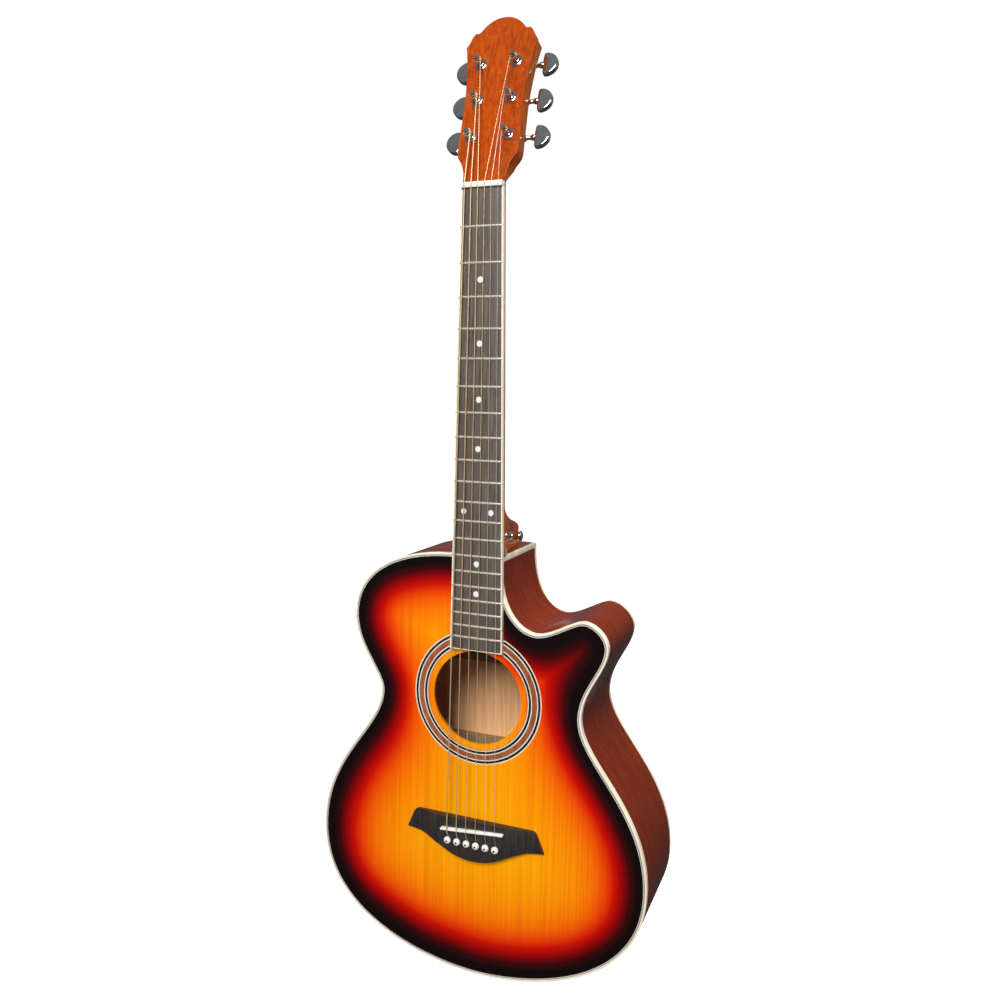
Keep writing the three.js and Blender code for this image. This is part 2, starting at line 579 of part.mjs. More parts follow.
function buildNeck() {
  const heelStart = JOIN - HEEL_LENGTH;
  const rows = [-20, -10, 0];
  [0.2, 0.5, 0.85].forEach((share) => rows.push(share * heelStart));
  [-3, 4, 9, 14, 18, 22, 26, 30, 34, 43].forEach((past) => rows.push(heelStart + past));
  rows.push(JOIN - GLUE_GAP);
  const sides = 18;
  const shaft = new THREE.CylinderGeometry(1, 1, rows.length - 1, sides, rows.length - 1, false);
  sculpt(shaft, (vertex) => {
    const station = rows[Math.round((rows.length - 1) / 2 - vertex.y)];
    const row = neckRow(station);
    const { front, back, heel, half } = row;
    const radius = Math.hypot(vertex.x, vertex.z);
    if (radius < 0.5) {
      vertex.set(0, (front + back) / 2, -station);
      return;
    }
    const turn = Math.atan2(-vertex.z, vertex.x);
    const flat = Math.sin(turn) <= 0.01;
    const deep = Math.max(Math.sin(turn), 0);
    const share = deep ** (1 - 0.35 * heel);
    vertex.x = flat ? half * Math.cos(turn) : Math.sign(Math.cos(turn)) * neckHalf(row, share);
    vertex.y = front + (back - front) * share;
    vertex.z = -station;
    if (deep > 0.999) vertex.x = 0;
  });
  const plank = headSlab(VENEER_THICKNESS + GLUE_GAP, HEAD_THICKNESS);
  const core = toGeometry(plank.subtract(throatCutter(1)).subtract(throatCutter(-1)));
  core.rotateX(-HEAD_TILT).translate(0, HEAD_FACE_Y, NUT_THICKNESS);
  const slotHalf = ROD_RADIUS + ROD_CLEARANCE;
  const rodSlot = toSolid(boxAt(-slotHalf, slotHalf, -1, ROD_DEPTH + slotHalf, 14, JOIN + 5));
  const seat = toSolid(boxAt(-40, 40, -30, 0, -NUT_THICKNESS - 0.3, 40));
  const neck = toSolid(shaft).add(toSolid(core)).subtract(rodSlot).subtract(seat);
  addPiece(body, 'neck', toGeometry(neck), finish(0x9c3a12, 0.2));
  const veneer = headSlab(0, VENEER_THICKNESS);
  const nutRoom = new THREE.BoxGeometry(80, 40, 20).rotateX(HEAD_TILT).translate(0, 0, -9.7);
  addPiece(head, 'headstock_veneer', toGeometry(veneer.subtract(toSolid(nutRoom))),
    finish(HEAD_MAHOGANY, 0.2));
}
buildNeck();

function buildFingerboard() {
  const inner = (station) => boardHalf(station) - BOARD_BINDING - 0.1;
  const length = BOARD_LENGTH - BOARD_BINDING - 0.1;
  const board = new THREE.BoxGeometry(2, 1, 1, 8, 1, 1);
  sculpt(board, (vertex) => {
    const station = vertex.z > 0 ? 0 : length;
    const crown = (BOARD_THICKNESS - BOARD_EDGE_THICKNESS) * (1 - vertex.x ** 2);
    vertex.y = vertex.y > 0 ? 0 : -BOARD_EDGE_THICKNESS - crown;
    vertex.x *= inner(station);
    vertex.z = -station;
  });
  addPiece(body, 'fingerboard', board, finish(ROSEWOOD, 0.5));
  const rim = (station, trim) => boardHalf(station) - trim;
  const end = BOARD_LENGTH - BOARD_BINDING;
  const binding = [
    [rim(0, 0), 0], [rim(BOARD_LENGTH, 0), BOARD_LENGTH], [-rim(BOARD_LENGTH, 0), BOARD_LENGTH],
    [-rim(0, 0), 0], [-rim(0, BOARD_BINDING), 0], [-rim(end, BOARD_BINDING), end],
    [rim(end, BOARD_BINDING), end], [rim(0, BOARD_BINDING), 0],
  ];
  addPiece(body, 'fingerboard_binding', slab(binding, -BOARD_EDGE_THICKNESS, 0), finish(CREAM, 0.35));

  let nut = toSolid(boxAt(-NUT_WIDTH / 2, NUT_WIDTH / 2, -NUT_HEIGHT, 0, -NUT_THICKNESS, 0));
  STRING_RADII.forEach((radius, i) => {
    const x = stringX(i, NUT_STRING_SPACING);
    nut = nut.subtract(toSolid(boxAt(x - radius - 0.2, x + radius + 0.2,
      -NUT_HEIGHT - 1, -STRING_AT_NUT + radius + 0.15, -NUT_THICKNESS - 1, 1)));
  });
  addPiece(body, 'nut', toGeometry(nut), finish(BONE, 0.35));

  const rodEnd = JOIN + 44;
  const rod = new THREE.CylinderGeometry(ROD_RADIUS, ROD_RADIUS, rodEnd - 18, 10).rotateX(Math.PI / 2);
  rod.translate(0, ROD_DEPTH, -(rodEnd + 18) / 2);
  addPiece(body, 'truss_rod', rod, finish(0x8c8f94, 0.4, 1));
  const socket = toSolid(new THREE.CylinderGeometry(1.7, 1.7, 6, 6));
  const nutRadius = ROD_RADIUS + 0.9;
  const barrel = toSolid(new THREE.CylinderGeometry(nutRadius, nutRadius, 10, 14).translate(0, 0.2, 0));
  const rodNut = toGeometry(barrel.subtract(socket.translate([0, -4, 0])));
  rodNut.rotateX(Math.PI / 2).translate(0, ROD_DEPTH, -(rodEnd + 5.7));
  addPiece(body, 'truss_rod_nut', rodNut, finish(0x8a6b2c, 0.35, 1));
}
buildFingerboard();

// ---------- Bridge, saddle and pins ----------
const saddleStation = (x) => SADDLE_STATION - Math.tan(SADDLE_SLANT) * x;
const saddleTop = (x) => SADDLE_TOP - (0.5 * x) / (SADDLE_LENGTH / 2);

function buildBridge() {
  const tipAt = BRIDGE_TOP_STATION + BRIDGE_TIP_DROP;
  const bellyAt = BRIDGE_TOP_STATION + BRIDGE_BELLY_DROP;
  const right = [
    [BRIDGE_TOP_HALF, BRIDGE_TOP_STATION],
    ...bezier([BRIDGE_TIP_HALF, tipAt], [0.7 * BRIDGE_TIP_HALF, tipAt + 1],
      [0.53 * BRIDGE_TIP_HALF, tipAt + 9], [0.42 * BRIDGE_TIP_HALF, tipAt + 13.5], 5),
    ...bezier([0.42 * BRIDGE_TIP_HALF, tipAt + 13.5], [0.27 * BRIDGE_TIP_HALF, bellyAt - 2],
      [0.14 * BRIDGE_TIP_HALF, bellyAt], [0, bellyAt], 4),
  ];
  const left = right.slice().reverse().map(([x, station]) => [-x, station]);
  const outline = toSolid(slab([...right, [0, bellyAt], ...left], -BRIDGE_HEIGHT, 0));
  const wing = new THREE.Shape([[-80, 0], [-80, 3.2], [-66, 3.6], [-52, 6], [-44, BRIDGE_HEIGHT],
    [44, BRIDGE_HEIGHT], [52, 6], [66, 3.6], [80, 3.2], [80, 0]]
    .map(([x, y]) => new THREE.Vector2((x * BRIDGE_TIP_HALF) / 77.5, y)));
  const arch = new THREE.ExtrudeGeometry(wing, { depth: BRIDGE_BELLY_DROP + 20, bevelEnabled: false });
  arch.rotateZ(Math.PI).translate(0, 0, -bellyAt - 10);
  const slot = new THREE.BoxGeometry(SADDLE_LENGTH + 0.4, 6, SADDLE_THICKNESS + 0.4)
    .rotateY(-SADDLE_SLANT).translate(0, -BRIDGE_HEIGHT + 1.4, -SADDLE_STATION);
  const bridge = outline.intersect(toSolid(arch)).subtract(toSolid(slot)).subtract(pinCutter);
  addPiece(body, 'bridge', toGeometry(bridge), finish(0x2c2422, 0.45));

  const saddle = new THREE.BoxGeometry(SADDLE_LENGTH, 1, SADDLE_THICKNESS, 6, 1, 1);
  sculpt(saddle, (vertex) => {
    vertex.y = vertex.y > 0 ? -BRIDGE_HEIGHT + 4.1 : -saddleTop(vertex.x);
  });
  saddle.rotateY(-SADDLE_SLANT).translate(0, 0, -SADDLE_STATION);
  addPiece(body, 'saddle', saddle, finish(BONE, 0.3));

  const top = -BRIDGE_HEIGHT;
  STRING_RADII.forEach((_, i) => {
    const pin = turned([
      [0, top - 5.6], [2.2, top - 5], [PIN_HEAD_RADIUS, top - 2.4],
      [PIN_HEAD_RADIUS - 0.5, top - 1.2], [PIN_SHANK_RADIUS, top - 0.6],
      [PIN_SHANK_RADIUS, 6], [PIN_SHANK_RADIUS - 0.7, 14], [0, 14],
    ].reverse(), 10);
    pin.translate(stringX(i, PIN_SPACING), 0, -PIN_STATION);
    addPiece(body, `bridge_pin_${6 - i}`, pin, finish(BONE, 0.3));
  });
}
buildBridge();

// ---------- Tuners ----------
// String 6 is the thickest; strings 6, 5 and 4 go to the bass side's posts.
const TUNERS = [
  { string: 6, sign: -1, post: POSTS[0] },
  { string: 5, sign: -1, post: POSTS[1] },
  { string: 4, sign: -1, post: POSTS[2] },
  { string: 3, sign: 1, post: POSTS[2] },
  { string: 2, sign: 1, post: POSTS[1] },
  { string: 1, sign: 1, post: POSTS[0] },
];

function buildTuner({ string, sign, post }) {
  const place = (geometry) => geometry.translate(sign * post.x, 0, post.along);
  const block = toSolid(new THREE.BoxGeometry(15, HOUSING_DEPTH, 20)
    .translate(0, HEAD_BACK + HOUSING_DEPTH / 2, 2.5));
  const sleeve = toSolid(turned([[0, HEAD_BACK + 1], [SLEEVE_RADIUS, HEAD_BACK + 1],
    [SLEEVE_RADIUS, 1], [0, 1]], 10));
  const wheelRoom = WHEEL_RADIUS + 0.5;
  const roomFront = WHEEL_FRONT - GEAR_CLEARANCE;
  const bore = toSolid(turned([
    [0, WHEEL_FRONT + WHEEL_THICKNESS + 2 * GEAR_CLEARANCE],
    [wheelRoom, WHEEL_FRONT + WHEEL_THICKNESS + 2 * GEAR_CLEARANCE], [wheelRoom, roomFront],
    [POST_RADIUS + POST_CLEARANCE, roomFront], [POST_RADIUS + POST_CLEARANCE, -5], [0, -5],
  ], 10));
  const wormRoom = WORM_RADIUS + POST_CLEARANCE;
  const wormBore = toSolid(new THREE.CylinderGeometry(wormRoom, wormRoom, 14, 10)
    .rotateZ(Math.PI / 2).translate(sign * 2.5, WORM_DEPTH, WORM_OFFSET));
  const casing = toGeometry(block.add(sleeve).subtract(bore).subtract(wormBore));
  addPiece(head, `tuner_housing_${string}`, place(casing), finish(CHROME, 0.2, 1));

  const shank = turned([
    [0, -POST_HEIGHT], [2.2, -POST_HEIGHT], [2.6, -POST_HEIGHT + 3],
    [POST_WAIST_RADIUS, -POST_HEIGHT + 4], [POST_WAIST_RADIUS, -4.4], [POST_RADIUS, -3.4],
    [POST_RADIUS, WHEEL_FRONT], [WHEEL_RADIUS, WHEEL_FRONT],
    [WHEEL_RADIUS, WHEEL_FRONT + WHEEL_THICKNESS], [0, WHEEL_FRONT + WHEEL_THICKNESS],
  ].reverse(), 10);
  addPiece(head, `tuner_post_${string}`, place(shank), finish(CHROME, 0.15, 1));

  // The key: a shaft with a worm inside the housing and a half-moon button outside.
  const inner = -3.6;
  const shaftEnd = KEY_REACH - 7 - post.x;
  const shaft = toSolid(new THREE.CylinderGeometry(WORM_RADIUS, WORM_RADIUS, shaftEnd - inner + 1, 10)
    .rotateZ(Math.PI / 2).translate((shaftEnd + 1 + inner) / 2, 0, 0));
  const collarLength = 4.6;
  const collar = toSolid(new THREE.CylinderGeometry(3, 3, collarLength, 12)
    .rotateZ(Math.PI / 2).translate(shaftEnd - collarLength / 2 + 0.5, 0, 0));
  const moon = new THREE.Shape();
  moon.moveTo(0, -10.4);
  moon.bezierCurveTo(3, -13.4, 14.5, -9.5, 14.5, 0);
  moon.bezierCurveTo(14.5, 9.5, 3, 13.4, 0, 10.4);
  moon.quadraticCurveTo(-1.6, 0, 0, -10.4);
  const button = new THREE.ExtrudeGeometry(moon, {
    depth: 3.4, bevelThickness: 1.7, bevelSize: 1.2, bevelOffset: -1.2, bevelSegments: 1, curveSegments: 4,
  }).translate(shaftEnd, 0, -1.7).rotateX(Math.PI / 2);
  const key = shaft.add(collar).add(toSolid(button));
  const keyGeometry = toGeometry(key);
  if (sign < 0) keyGeometry.rotateZ(Math.PI);
  keyGeometry.translate(0, WORM_DEPTH, WORM_OFFSET);
  addPiece(head, `tuner_key_${string}`, place(keyGeometry), finish(CHROME, 0.12, 1));
}
TUNERS.forEach(buildTuner);

// ---------- Strings ----------
function buildString({ string, sign, post }) {
  const index = 6 - string;
  const radius = STRING_RADII[index];
  const pinX = stringX(index, PIN_SPACING);
  const nutX = stringX(index, NUT_STRING_SPACING);
  const run = PIN_STATION - STRING_RUN;
  const crest = saddleTop(pinX) + radius + 0.15;
  const atSaddle = saddleStation(pinX);
  const saddleX = (station) => nutX + ((pinX - nutX) * station) / run;
  const points = [
    [pinX, 9, run],
    [pinX, -BRIDGE_HEIGHT - 0.35, run],
    [saddleX(atSaddle + 1.8), -crest, atSaddle + 1.8],
    [saddleX(atSaddle - 1.8), -crest, atSaddle - 1.8],
    [nutX, -STRING_AT_NUT, 0.3],
    [nutX, -STRING_AT_NUT, -NUT_THICKNESS - 0.3],
  ].map(([x, y, station]) => new THREE.Vector3(x, y, -station));
  // Two turns round the post's waist, starting where the string runs onto it.
  head.updateMatrix();
  const level = -9.2;
  const coilRadius = POST_WAIST_RADIUS + POST_CLEARANCE + radius;
  const reach = Math.hypot(sign * post.x - nutX, post.along);
  const towards = Math.atan2(-post.along, nutX - sign * post.x);
  const start = towards - sign * Math.acos(coilRadius / reach);
  const perTurn = 10;
  const turns = 2;
  for (let i = 0; i <= turns * perTurn; i += 1) {
    const angle = start - (sign * 2 * Math.PI * i) / perTurn;
    const drop = (2 * radius + 0.12) * (i / perTurn);
    points.push(new THREE.Vector3(
      sign * post.x + coilRadius * Math.cos(angle),
      level + drop,
      post.along + coilRadius * Math.sin(angle),
    ).applyMatrix4(head.matrix));
  }
  const material = finish(string > 2 ? BRONZE : 0xd4d4d2, 0.35, 1);
  addPiece(body, `string_${string}`, rodAlong(points, radius, 5), material);
}
TUNERS.forEach(buildString);

// ---------- Strap fittings ----------
function buildStrapFittings() {
  const endPin = turned([
    [0, 0], [4.8, 0], [6.6, 1.4], [6.6, 3], [4.6, 4.6], [4, 8], [5.4, END_PIN_LENGTH - 0.3],
    [4, END_PIN_LENGTH - 0.1], [3.4, END_PIN_LENGTH + 20], [0, END_PIN_LENGTH + 20],
  ].reverse(), 12);
  endPin.rotateX(Math.PI / 2).translate(0, -FACE_Y, -NUT_Z);
  addPiece(body, 'end_pin', endPin, finish(CHROME, 0.2, 1));
  const strap = turned([
    [0, -13], [3.6, -13], [5.8, -12], [5.8, -10.6], [3.4, -8.4], [3.2, -3], [5, -0.6], [5, 0], [0, 0],
  ].reverse(), 12);
  const station = JOIN - STRAP_RISE;
  const row = neckRow(station);
  const cheek = neckHalf(row, (STRAP_DEPTH - 4) / row.back) + 0.9;
  strap.rotateZ(Math.PI / 2).translate(cheek, STRAP_DEPTH, -station);
  addPiece(body, 'strap_button', strap, finish(CHROME, 0.2, 1));
}
buildStrapFittings();

export default guitar;
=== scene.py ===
"""Sunburst acoustic guitar with a cutaway: the finished look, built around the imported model.

Sizes are in millimetres and turned to metres where a piece is placed. x runs to the treble side,
y runs back from the soundboard's face, and a station is the distance down from the nut's front edge.
"""
import json
import math

import bpy
from mathutils import Matrix, Vector
from mathutils.kdtree import KDTree


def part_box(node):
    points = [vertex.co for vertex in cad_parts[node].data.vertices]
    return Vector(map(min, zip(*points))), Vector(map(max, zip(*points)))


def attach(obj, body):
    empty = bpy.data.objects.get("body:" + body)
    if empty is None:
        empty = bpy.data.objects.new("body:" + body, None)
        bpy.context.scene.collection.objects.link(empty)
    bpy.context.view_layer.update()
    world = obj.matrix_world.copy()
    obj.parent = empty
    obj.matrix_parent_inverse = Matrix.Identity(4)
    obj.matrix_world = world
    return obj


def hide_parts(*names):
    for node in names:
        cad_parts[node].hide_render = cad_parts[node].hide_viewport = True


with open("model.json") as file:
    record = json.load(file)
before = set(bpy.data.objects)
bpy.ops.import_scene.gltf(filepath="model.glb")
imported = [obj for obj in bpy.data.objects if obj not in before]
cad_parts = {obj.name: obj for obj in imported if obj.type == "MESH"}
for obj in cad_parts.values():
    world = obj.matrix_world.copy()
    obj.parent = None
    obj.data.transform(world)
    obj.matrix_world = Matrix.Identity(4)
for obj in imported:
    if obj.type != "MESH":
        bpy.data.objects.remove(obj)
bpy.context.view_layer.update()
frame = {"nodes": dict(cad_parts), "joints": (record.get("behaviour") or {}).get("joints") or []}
MM = 0.001

# ---------- Sizes of the guitar, in millimetres ----------
SCALE_LENGTH = 648
FRETS = 20

LOWER_BOUT_AT = 323.4
WAIST = 224.4
WAIST_AT = 155.1
UPPER_BOUT = 288
UPPER_BOUT_AT = 76.4
BACK_ARCH = 3.5
TOP_THICKNESS = 2.8
BACK_THICKNESS = 2.8
SIDE_THICKNESS = 2.2
BINDING_HEIGHT = 6

# The burst's width, as a share of BURST_REACH: each gain sets in between two distances below
# the neck's join, and each bump has a place, a size and a spread.
BURST_REACH = 130
BURST_AT_SHOULDERS = 0.97
BURST_GAINS = [(0.12, 150, 280), (0.16, 350, 440)]
BURST_WAIST_PINCH = 0.08
BURST_WAIST_SPREAD = 38
BURST_HORN_AT = 92
BURST_HORN_GAIN = 0.55
BURST_HORN_SPREAD = 62
BURST_HORN_FROM_X = (10, 80)
BURST_LEAN = 0.08
BURST_LEAN_X = 60
BURST_WANDER = 0.03

PURFLING = [("grey", 0.9), ("white", 0.5), ("black", 0.5)]

CUTAWAY_CORNER_X = 24
CUTAWAY_FLOOR_X = 62.9
CUTAWAY_FLOOR_AT = 74.5
HORN_TIP_X = 112.4
HORN_TIP_AT = 56.3
HORN_SIDE_X = 138
HORN_SIDE_AT = 81.3

SOUNDHOLE_RADIUS = 49.2
BOARD_TO_SOUNDHOLE = 1.6
ROSETTE_RINGS = [
    (71.0, 69.8, "pale"), (69.8, 67.3, "black"), (67.3, 66.2, "pale"), (66.2, 60.8, "brown"),
    (60.8, 59.7, "pale"), (59.7, 57.2, "black"), (57.2, 56.1, "pale"), (56.1, 55.4, "brown"),
]
ROSETTE_DEPTH = 1.0

BOARD_THICKNESS = 6
BOARD_EDGE_THICKNESS = 5.2
BOARD_BINDING = 1.4
NUT_WIDTH = 43.4
NUT_THICKNESS = 5
NECK_THICKNESS = 15
HEEL_SHORT_OF_BACK = 9
HEEL_HALF_WIDTH = 12.5
HEEL_LENGTH = 52
HEEL_CAP_LENGTH = 18
HEEL_PINCH_DEPTH = 34
NECK_SWELL = 2.5
NECK_BACK_SLOPE = 0.26
HEAD_LAP = 0.6
THROAT_HEIGHT = 27
THROAT_FRONT = 2
THROAT_SPREAD = 10
CUTTER_SIZE = 90

HEAD_TILT = math.radians(16)
HEAD_THICKNESS = 15
VENEER_THICKNESS = 1.5
HEAD_FACE_Y = -2.5
SLEEVE_HOLE_RADIUS = 5.4

BRIDGE_HEIGHT = 8
BRIDGE_AHEAD_OF_SADDLE = 10.5
BRIDGE_TOP_HALF = 68.5
BRIDGE_TIP_HALF = 77.5
BRIDGE_TIP_DROP = 22
BRIDGE_BELLY_DROP = 44
WING_FALL_FROM, WING_FALL_TO = 42, 62
WING_THICKNESS = 3.8
WING_TIP_FALL = 0.6
WING_OVERHANG = 3
SADDLE_LENGTH = 71
SADDLE_FALL = 0.5
SADDLE_THICKNESS = 3
SADDLE_SLANT = math.radians(4.6)
SADDLE_COMPENSATION = 2
SADDLE_RISE = 3.6
PINS_BEHIND_SADDLE = 14.3
SADDLE_STATION = SCALE_LENGTH + SADDLE_COMPENSATION
SADDLE_TOP = BRIDGE_HEIGHT + SADDLE_RISE
PIN_STATION = SADDLE_STATION + PINS_BEHIND_SADDLE
PIN_SPACING = 10.8
PIN_HEAD_RADIUS = 3.9
PIN_SHANK_RADIUS = 2.3
PIN_HOLE_RADIUS = 2.7

NUT_STRING_SPACING = 7
STRING_AT_NUT = 7.5
BALL_DEPTH = 9
STRING_RADII = {6: 0.67, 5: 0.53, 4: 0.41, 3: 0.31, 2: 0.22, 1: 0.18}
STRING_RUN = PIN_HOLE_RADIUS + STRING_RADII[6]
POST_WAIST_RADIUS = 2.3
HOUSING_DEPTH = 10.4
BUTTON_FROM_WORM = 20.9
BUTTON_HALF_THICKNESS = 3.2
WRAP_CLEARANCE = 0.4
FRET_HALF_WIDTH = 1.15
FRET_HEIGHT = 1.0
GAP = 0.1

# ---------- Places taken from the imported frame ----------
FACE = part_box("soundboard")[0].y
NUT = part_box("fingerboard")[1].z
BINDING_LOW, BINDING_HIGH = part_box("front_binding")
JOIN = (NUT - BINDING_HIGH.z) / MM
TAIL = (NUT - BINDING_LOW.z) / MM
BODY_LENGTH = TAIL - JOIN
LOWER_HALF = BINDING_HIGH.x / MM
BOARD_LENGTH = (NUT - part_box("fingerboard_binding")[0].z) / MM
BOARD_END_WIDTH = 2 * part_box("fingerboard_binding")[1].x / MM
SOUNDHOLE_STATION = BOARD_LENGTH + BOARD_TO_SOUNDHOLE + SOUNDHOLE_RADIUS
NECK_END_DEPTH = 105
TAIL_END_DEPTH = 121
TAPER = (TAIL_END_DEPTH - NECK_END_DEPTH) / BODY_LENGTH
HEEL_DEPTH = NECK_END_DEPTH - HEEL_SHORT_OF_BACK
JOINTS = {joint["name"]: joint for joint in frame["joints"]}
BODY = "guitar_body"


def place(x, y, station):
    """A point of the body, from millimetres to metres."""
    return Vector((x * MM, FACE + y * MM, NUT - station * MM))


HEAD = (Matrix.Translation(place(0, HEAD_FACE_Y, -NUT_THICKNESS))
        @ Matrix.Rotation(-HEAD_TILT, 4, "X"))


def smooth_step(value, low, high):
    share = min(max((value - low) / (high - low), 0), 1)
    return share * share * (3 - 2 * share)


def back_depth(x, station):
    """How far behind the soundboard's face the back's outer skin lies."""
    return NECK_END_DEPTH + TAPER * (station - JOIN) - BACK_ARCH * (x / LOWER_HALF) ** 2


def fret_station(fret):
    return SCALE_LENGTH * (1 - 2 ** (-fret / 12))


def board_half(station):
    return (NUT_WIDTH + (BOARD_END_WIDTH - NUT_WIDTH) * station / BOARD_LENGTH) / 2


# ---------- Outlines ----------
def curve(start, handle_a, handle_b, end, steps):
    """Points of a Bezier curve, without its last one."""
    points = []
    for i in range(steps):
        t = i / steps
        weights = ((1 - t) ** 3, 3 * (1 - t) ** 2 * t, 3 * (1 - t) * t * t, t ** 3)
        points.append(tuple(
            sum(w * p[axis] for w, p in zip(weights, (start, handle_a, handle_b, end)))
            for axis in (0, 1)))
    return points


def evenly(points, count):
    """The same open line with evenly spaced points, its ends kept."""
    lengths = [0.0]
    for a, b in zip(points, points[1:]):
        lengths.append(lengths[-1] + math.dist(a, b))
    result, j = [], 0
    for i in range(count + 1):
        target = lengths[-1] * i / count
        while j < len(points) - 2 and lengths[j + 1] < target:
            j += 1
        share = (target - lengths[j]) / (lengths[j + 1] - lengths[j])
        result.append(tuple(a + (b - a) * share for a, b in zip(points[j], points[j + 1])))
    return result


def body_edges():
    """Two lines: from the cutaway's corner down the bass side, and back up the treble side."""
    lower_at, waist_at, upper_at = JOIN + LOWER_BOUT_AT, JOIN + WAIST_AT, JOIN + UPPER_BOUT_AT
    waist, upper = WAIST / 2, UPPER_BOUT / 2
    tail_handle = 0.362 * LOWER_HALF
    lower_drop = 0.774 * (TAIL - lower_at)
    lower_rise = 0.51 * (lower_at - waist_at)
    waist_drop = 0.258 * (lower_at - waist_at)
    waist_rise = 0.212 * (waist_at - upper_at)
    upper_drop = 0.438 * (waist_at - upper_at)
    upper_rise = 0.692 * (upper_at - JOIN)
    shoulder, shoulder_handle = 0.194 * upper, 0.429 * upper
    floor_at, tip_at, side_at = JOIN + CUTAWAY_FLOOR_AT, JOIN + HORN_TIP_AT, JOIN + HORN_SIDE_AT
    bass = [
        (CUTAWAY_CORNER_X, JOIN),
        *curve((-shoulder, JOIN), (-shoulder - shoulder_handle, JOIN),
               (-upper, upper_at - upper_rise), (-upper, upper_at), 60),
        *curve((-upper, upper_at), (-upper, upper_at + upper_drop),
               (-waist, waist_at - waist_rise), (-waist, waist_at), 50),
        *curve((-waist, waist_at), (-waist, waist_at + waist_drop),
               (-LOWER_HALF, lower_at - lower_rise), (-LOWER_HALF, lower_at), 70),
        *curve((-LOWER_HALF, lower_at), (-LOWER_HALF, lower_at + lower_drop),
               (-tail_handle, TAIL), (0, TAIL), 80),
        (0, TAIL),
    ]
    treble = [
        *curve((0, TAIL), (tail_handle, TAIL),
               (LOWER_HALF, lower_at + lower_drop), (LOWER_HALF, lower_at), 80),
        *curve((LOWER_HALF, lower_at), (LOWER_HALF, lower_at - lower_rise),
               (waist, waist_at + waist_drop), (waist, waist_at), 70),
        *curve((waist, waist_at), (waist, waist_at - 30),
               (HORN_SIDE_X, side_at + 23), (HORN_SIDE_X, side_at), 50),
        *curve((HORN_SIDE_X, side_at), (HORN_SIDE_X, side_at - 13),
               (HORN_TIP_X + 11, tip_at), (HORN_TIP_X, tip_at), 40),
        *curve((HORN_TIP_X, tip_at), (HORN_TIP_X - 12, tip_at),
               (CUTAWAY_FLOOR_X + 16, floor_at), (CUTAWAY_FLOOR_X, floor_at), 40),
        *curve((CUTAWAY_FLOOR_X, floor_at), (CUTAWAY_FLOOR_X - 12, floor_at),
               (CUTAWAY_CORNER_X, JOIN + BINDING_HEIGHT + 56),
               (CUTAWAY_CORNER_X, JOIN + BINDING_HEIGHT), 50),
        (CUTAWAY_CORNER_X, JOIN),
    ]
    return evenly(bass, 190), evenly(treble, 210)


BASS_EDGE, TREBLE_EDGE = body_edges()
BODY_EDGE = BASS_EDGE + TREBLE_EDGE[1:]


def inset(outline, distance):
    """A closed outline, its last point the same as its first, moved inwards with mitred corners."""
    points = outline[:-1]
    moved = []
    for i, (x, station) in enumerate(points):
        before = Vector(points[i - 1])
        after = Vector(points[(i + 1) % len(points)])
        here = Vector((x, station))
        first, second = (here - before).normalized(), (after - here).normalized()
        normal = Vector((first.y + second.y, -first.x - second.x)).normalized()
        reach = distance / max(normal.x * first.y - normal.y * first.x, 0.3)
        moved.append((x + normal.x * reach, station + normal.y * reach))
    moved = open_up(moved, outline, distance)
    return moved + moved[:1]


def open_up(moved, outline, distance):
    """Points that a corner crowds out join the nearest point that isn't crowded."""
    fence = tree_of(evenly(outline, len(outline) * 8))
    clear = [fence.find((*point, 0))[2] > 0.96 * distance for point in moved]
    count = len(moved)
    result = []
    for i, point in enumerate(moved):
        step = 0
        while not (clear[(i + step) % count] or clear[i - step]):
            step += 1
        result.append(moved[(i + step) % count] if clear[(i + step) % count] else moved[i - step])
    return result


def tree_of(points):
    """A search tree over flat points."""
    tree = KDTree(len(points))
    for i, (x, station) in enumerate(points):
        tree.insert((x, station, 0), i)
    tree.balance()
    return tree


def without_doubles(points):
    return [p for i, p in enumerate(points) if math.dist(p, points[i - 1]) > 1e-6]


def ring_points(cx, station, radius, count):
    return [(cx + radius * math.cos(2 * math.pi * i / count),
             station + radius * math.sin(2 * math.pi * i / count)) for i in range(count)]


def rim(radius):
    """A circle round the soundhole's centre."""
    return ring_points(0, SOUNDHOLE_STATION, radius, 160)


# ---------- Workshop steps ----------
def start(add, name, **how):
    """Adds a primitive by itself and names it."""
    bpy.ops.object.select_all(action="DESELECT")
    add(**how)
    piece = bpy.context.object
    piece.name = piece.data.name = name
    return piece


def only(*pieces):
    """Selects these pieces alone, the first one active."""
    bpy.ops.object.select_all(action="DESELECT")
    for piece in pieces:
        piece.select_set(True)
    bpy.context.view_layer.objects.active = pieces[0]


def shape(piece, *steps):
    """Runs edit-mode steps on the whole of a piece."""
    only(piece)
    bpy.ops.object.mode_set(mode="EDIT")
    for step in steps:
        bpy.ops.mesh.select_all(action="SELECT")
        step()
    bpy.ops.object.mode_set(mode="OBJECT")
    return piece


def weld():
    bpy.ops.mesh.remove_doubles(threshold=1e-6)


def face_outwards():
    bpy.ops.mesh.normals_make_consistent(inside=False)


def push(x, y, z):
    """An extrude step by that many metres."""
    return lambda: bpy.ops.mesh.extrude_region_move(TRANSFORM_OT_translate={"value": (x, y, z)})


def finish_with(piece, kind, **settings):
    """Adds a modifier, sets it and applies it."""
    only(piece)
    modifier = piece.modifiers.new(kind.title(), kind)
    for key, value in settings.items():
        setattr(modifier, key, value)
    bpy.ops.object.modifier_apply(modifier=modifier.name)
    return piece


def round_edges(piece, width, segments=3, angle=35):
    """Rounds every edge sharper than the angle; the width is in millimetres."""
    return finish_with(piece, "BEVEL", width=width * MM, segments=segments,
                       limit_method="ANGLE", angle_limit=math.radians(angle),
                       use_clamp_overlap=True)


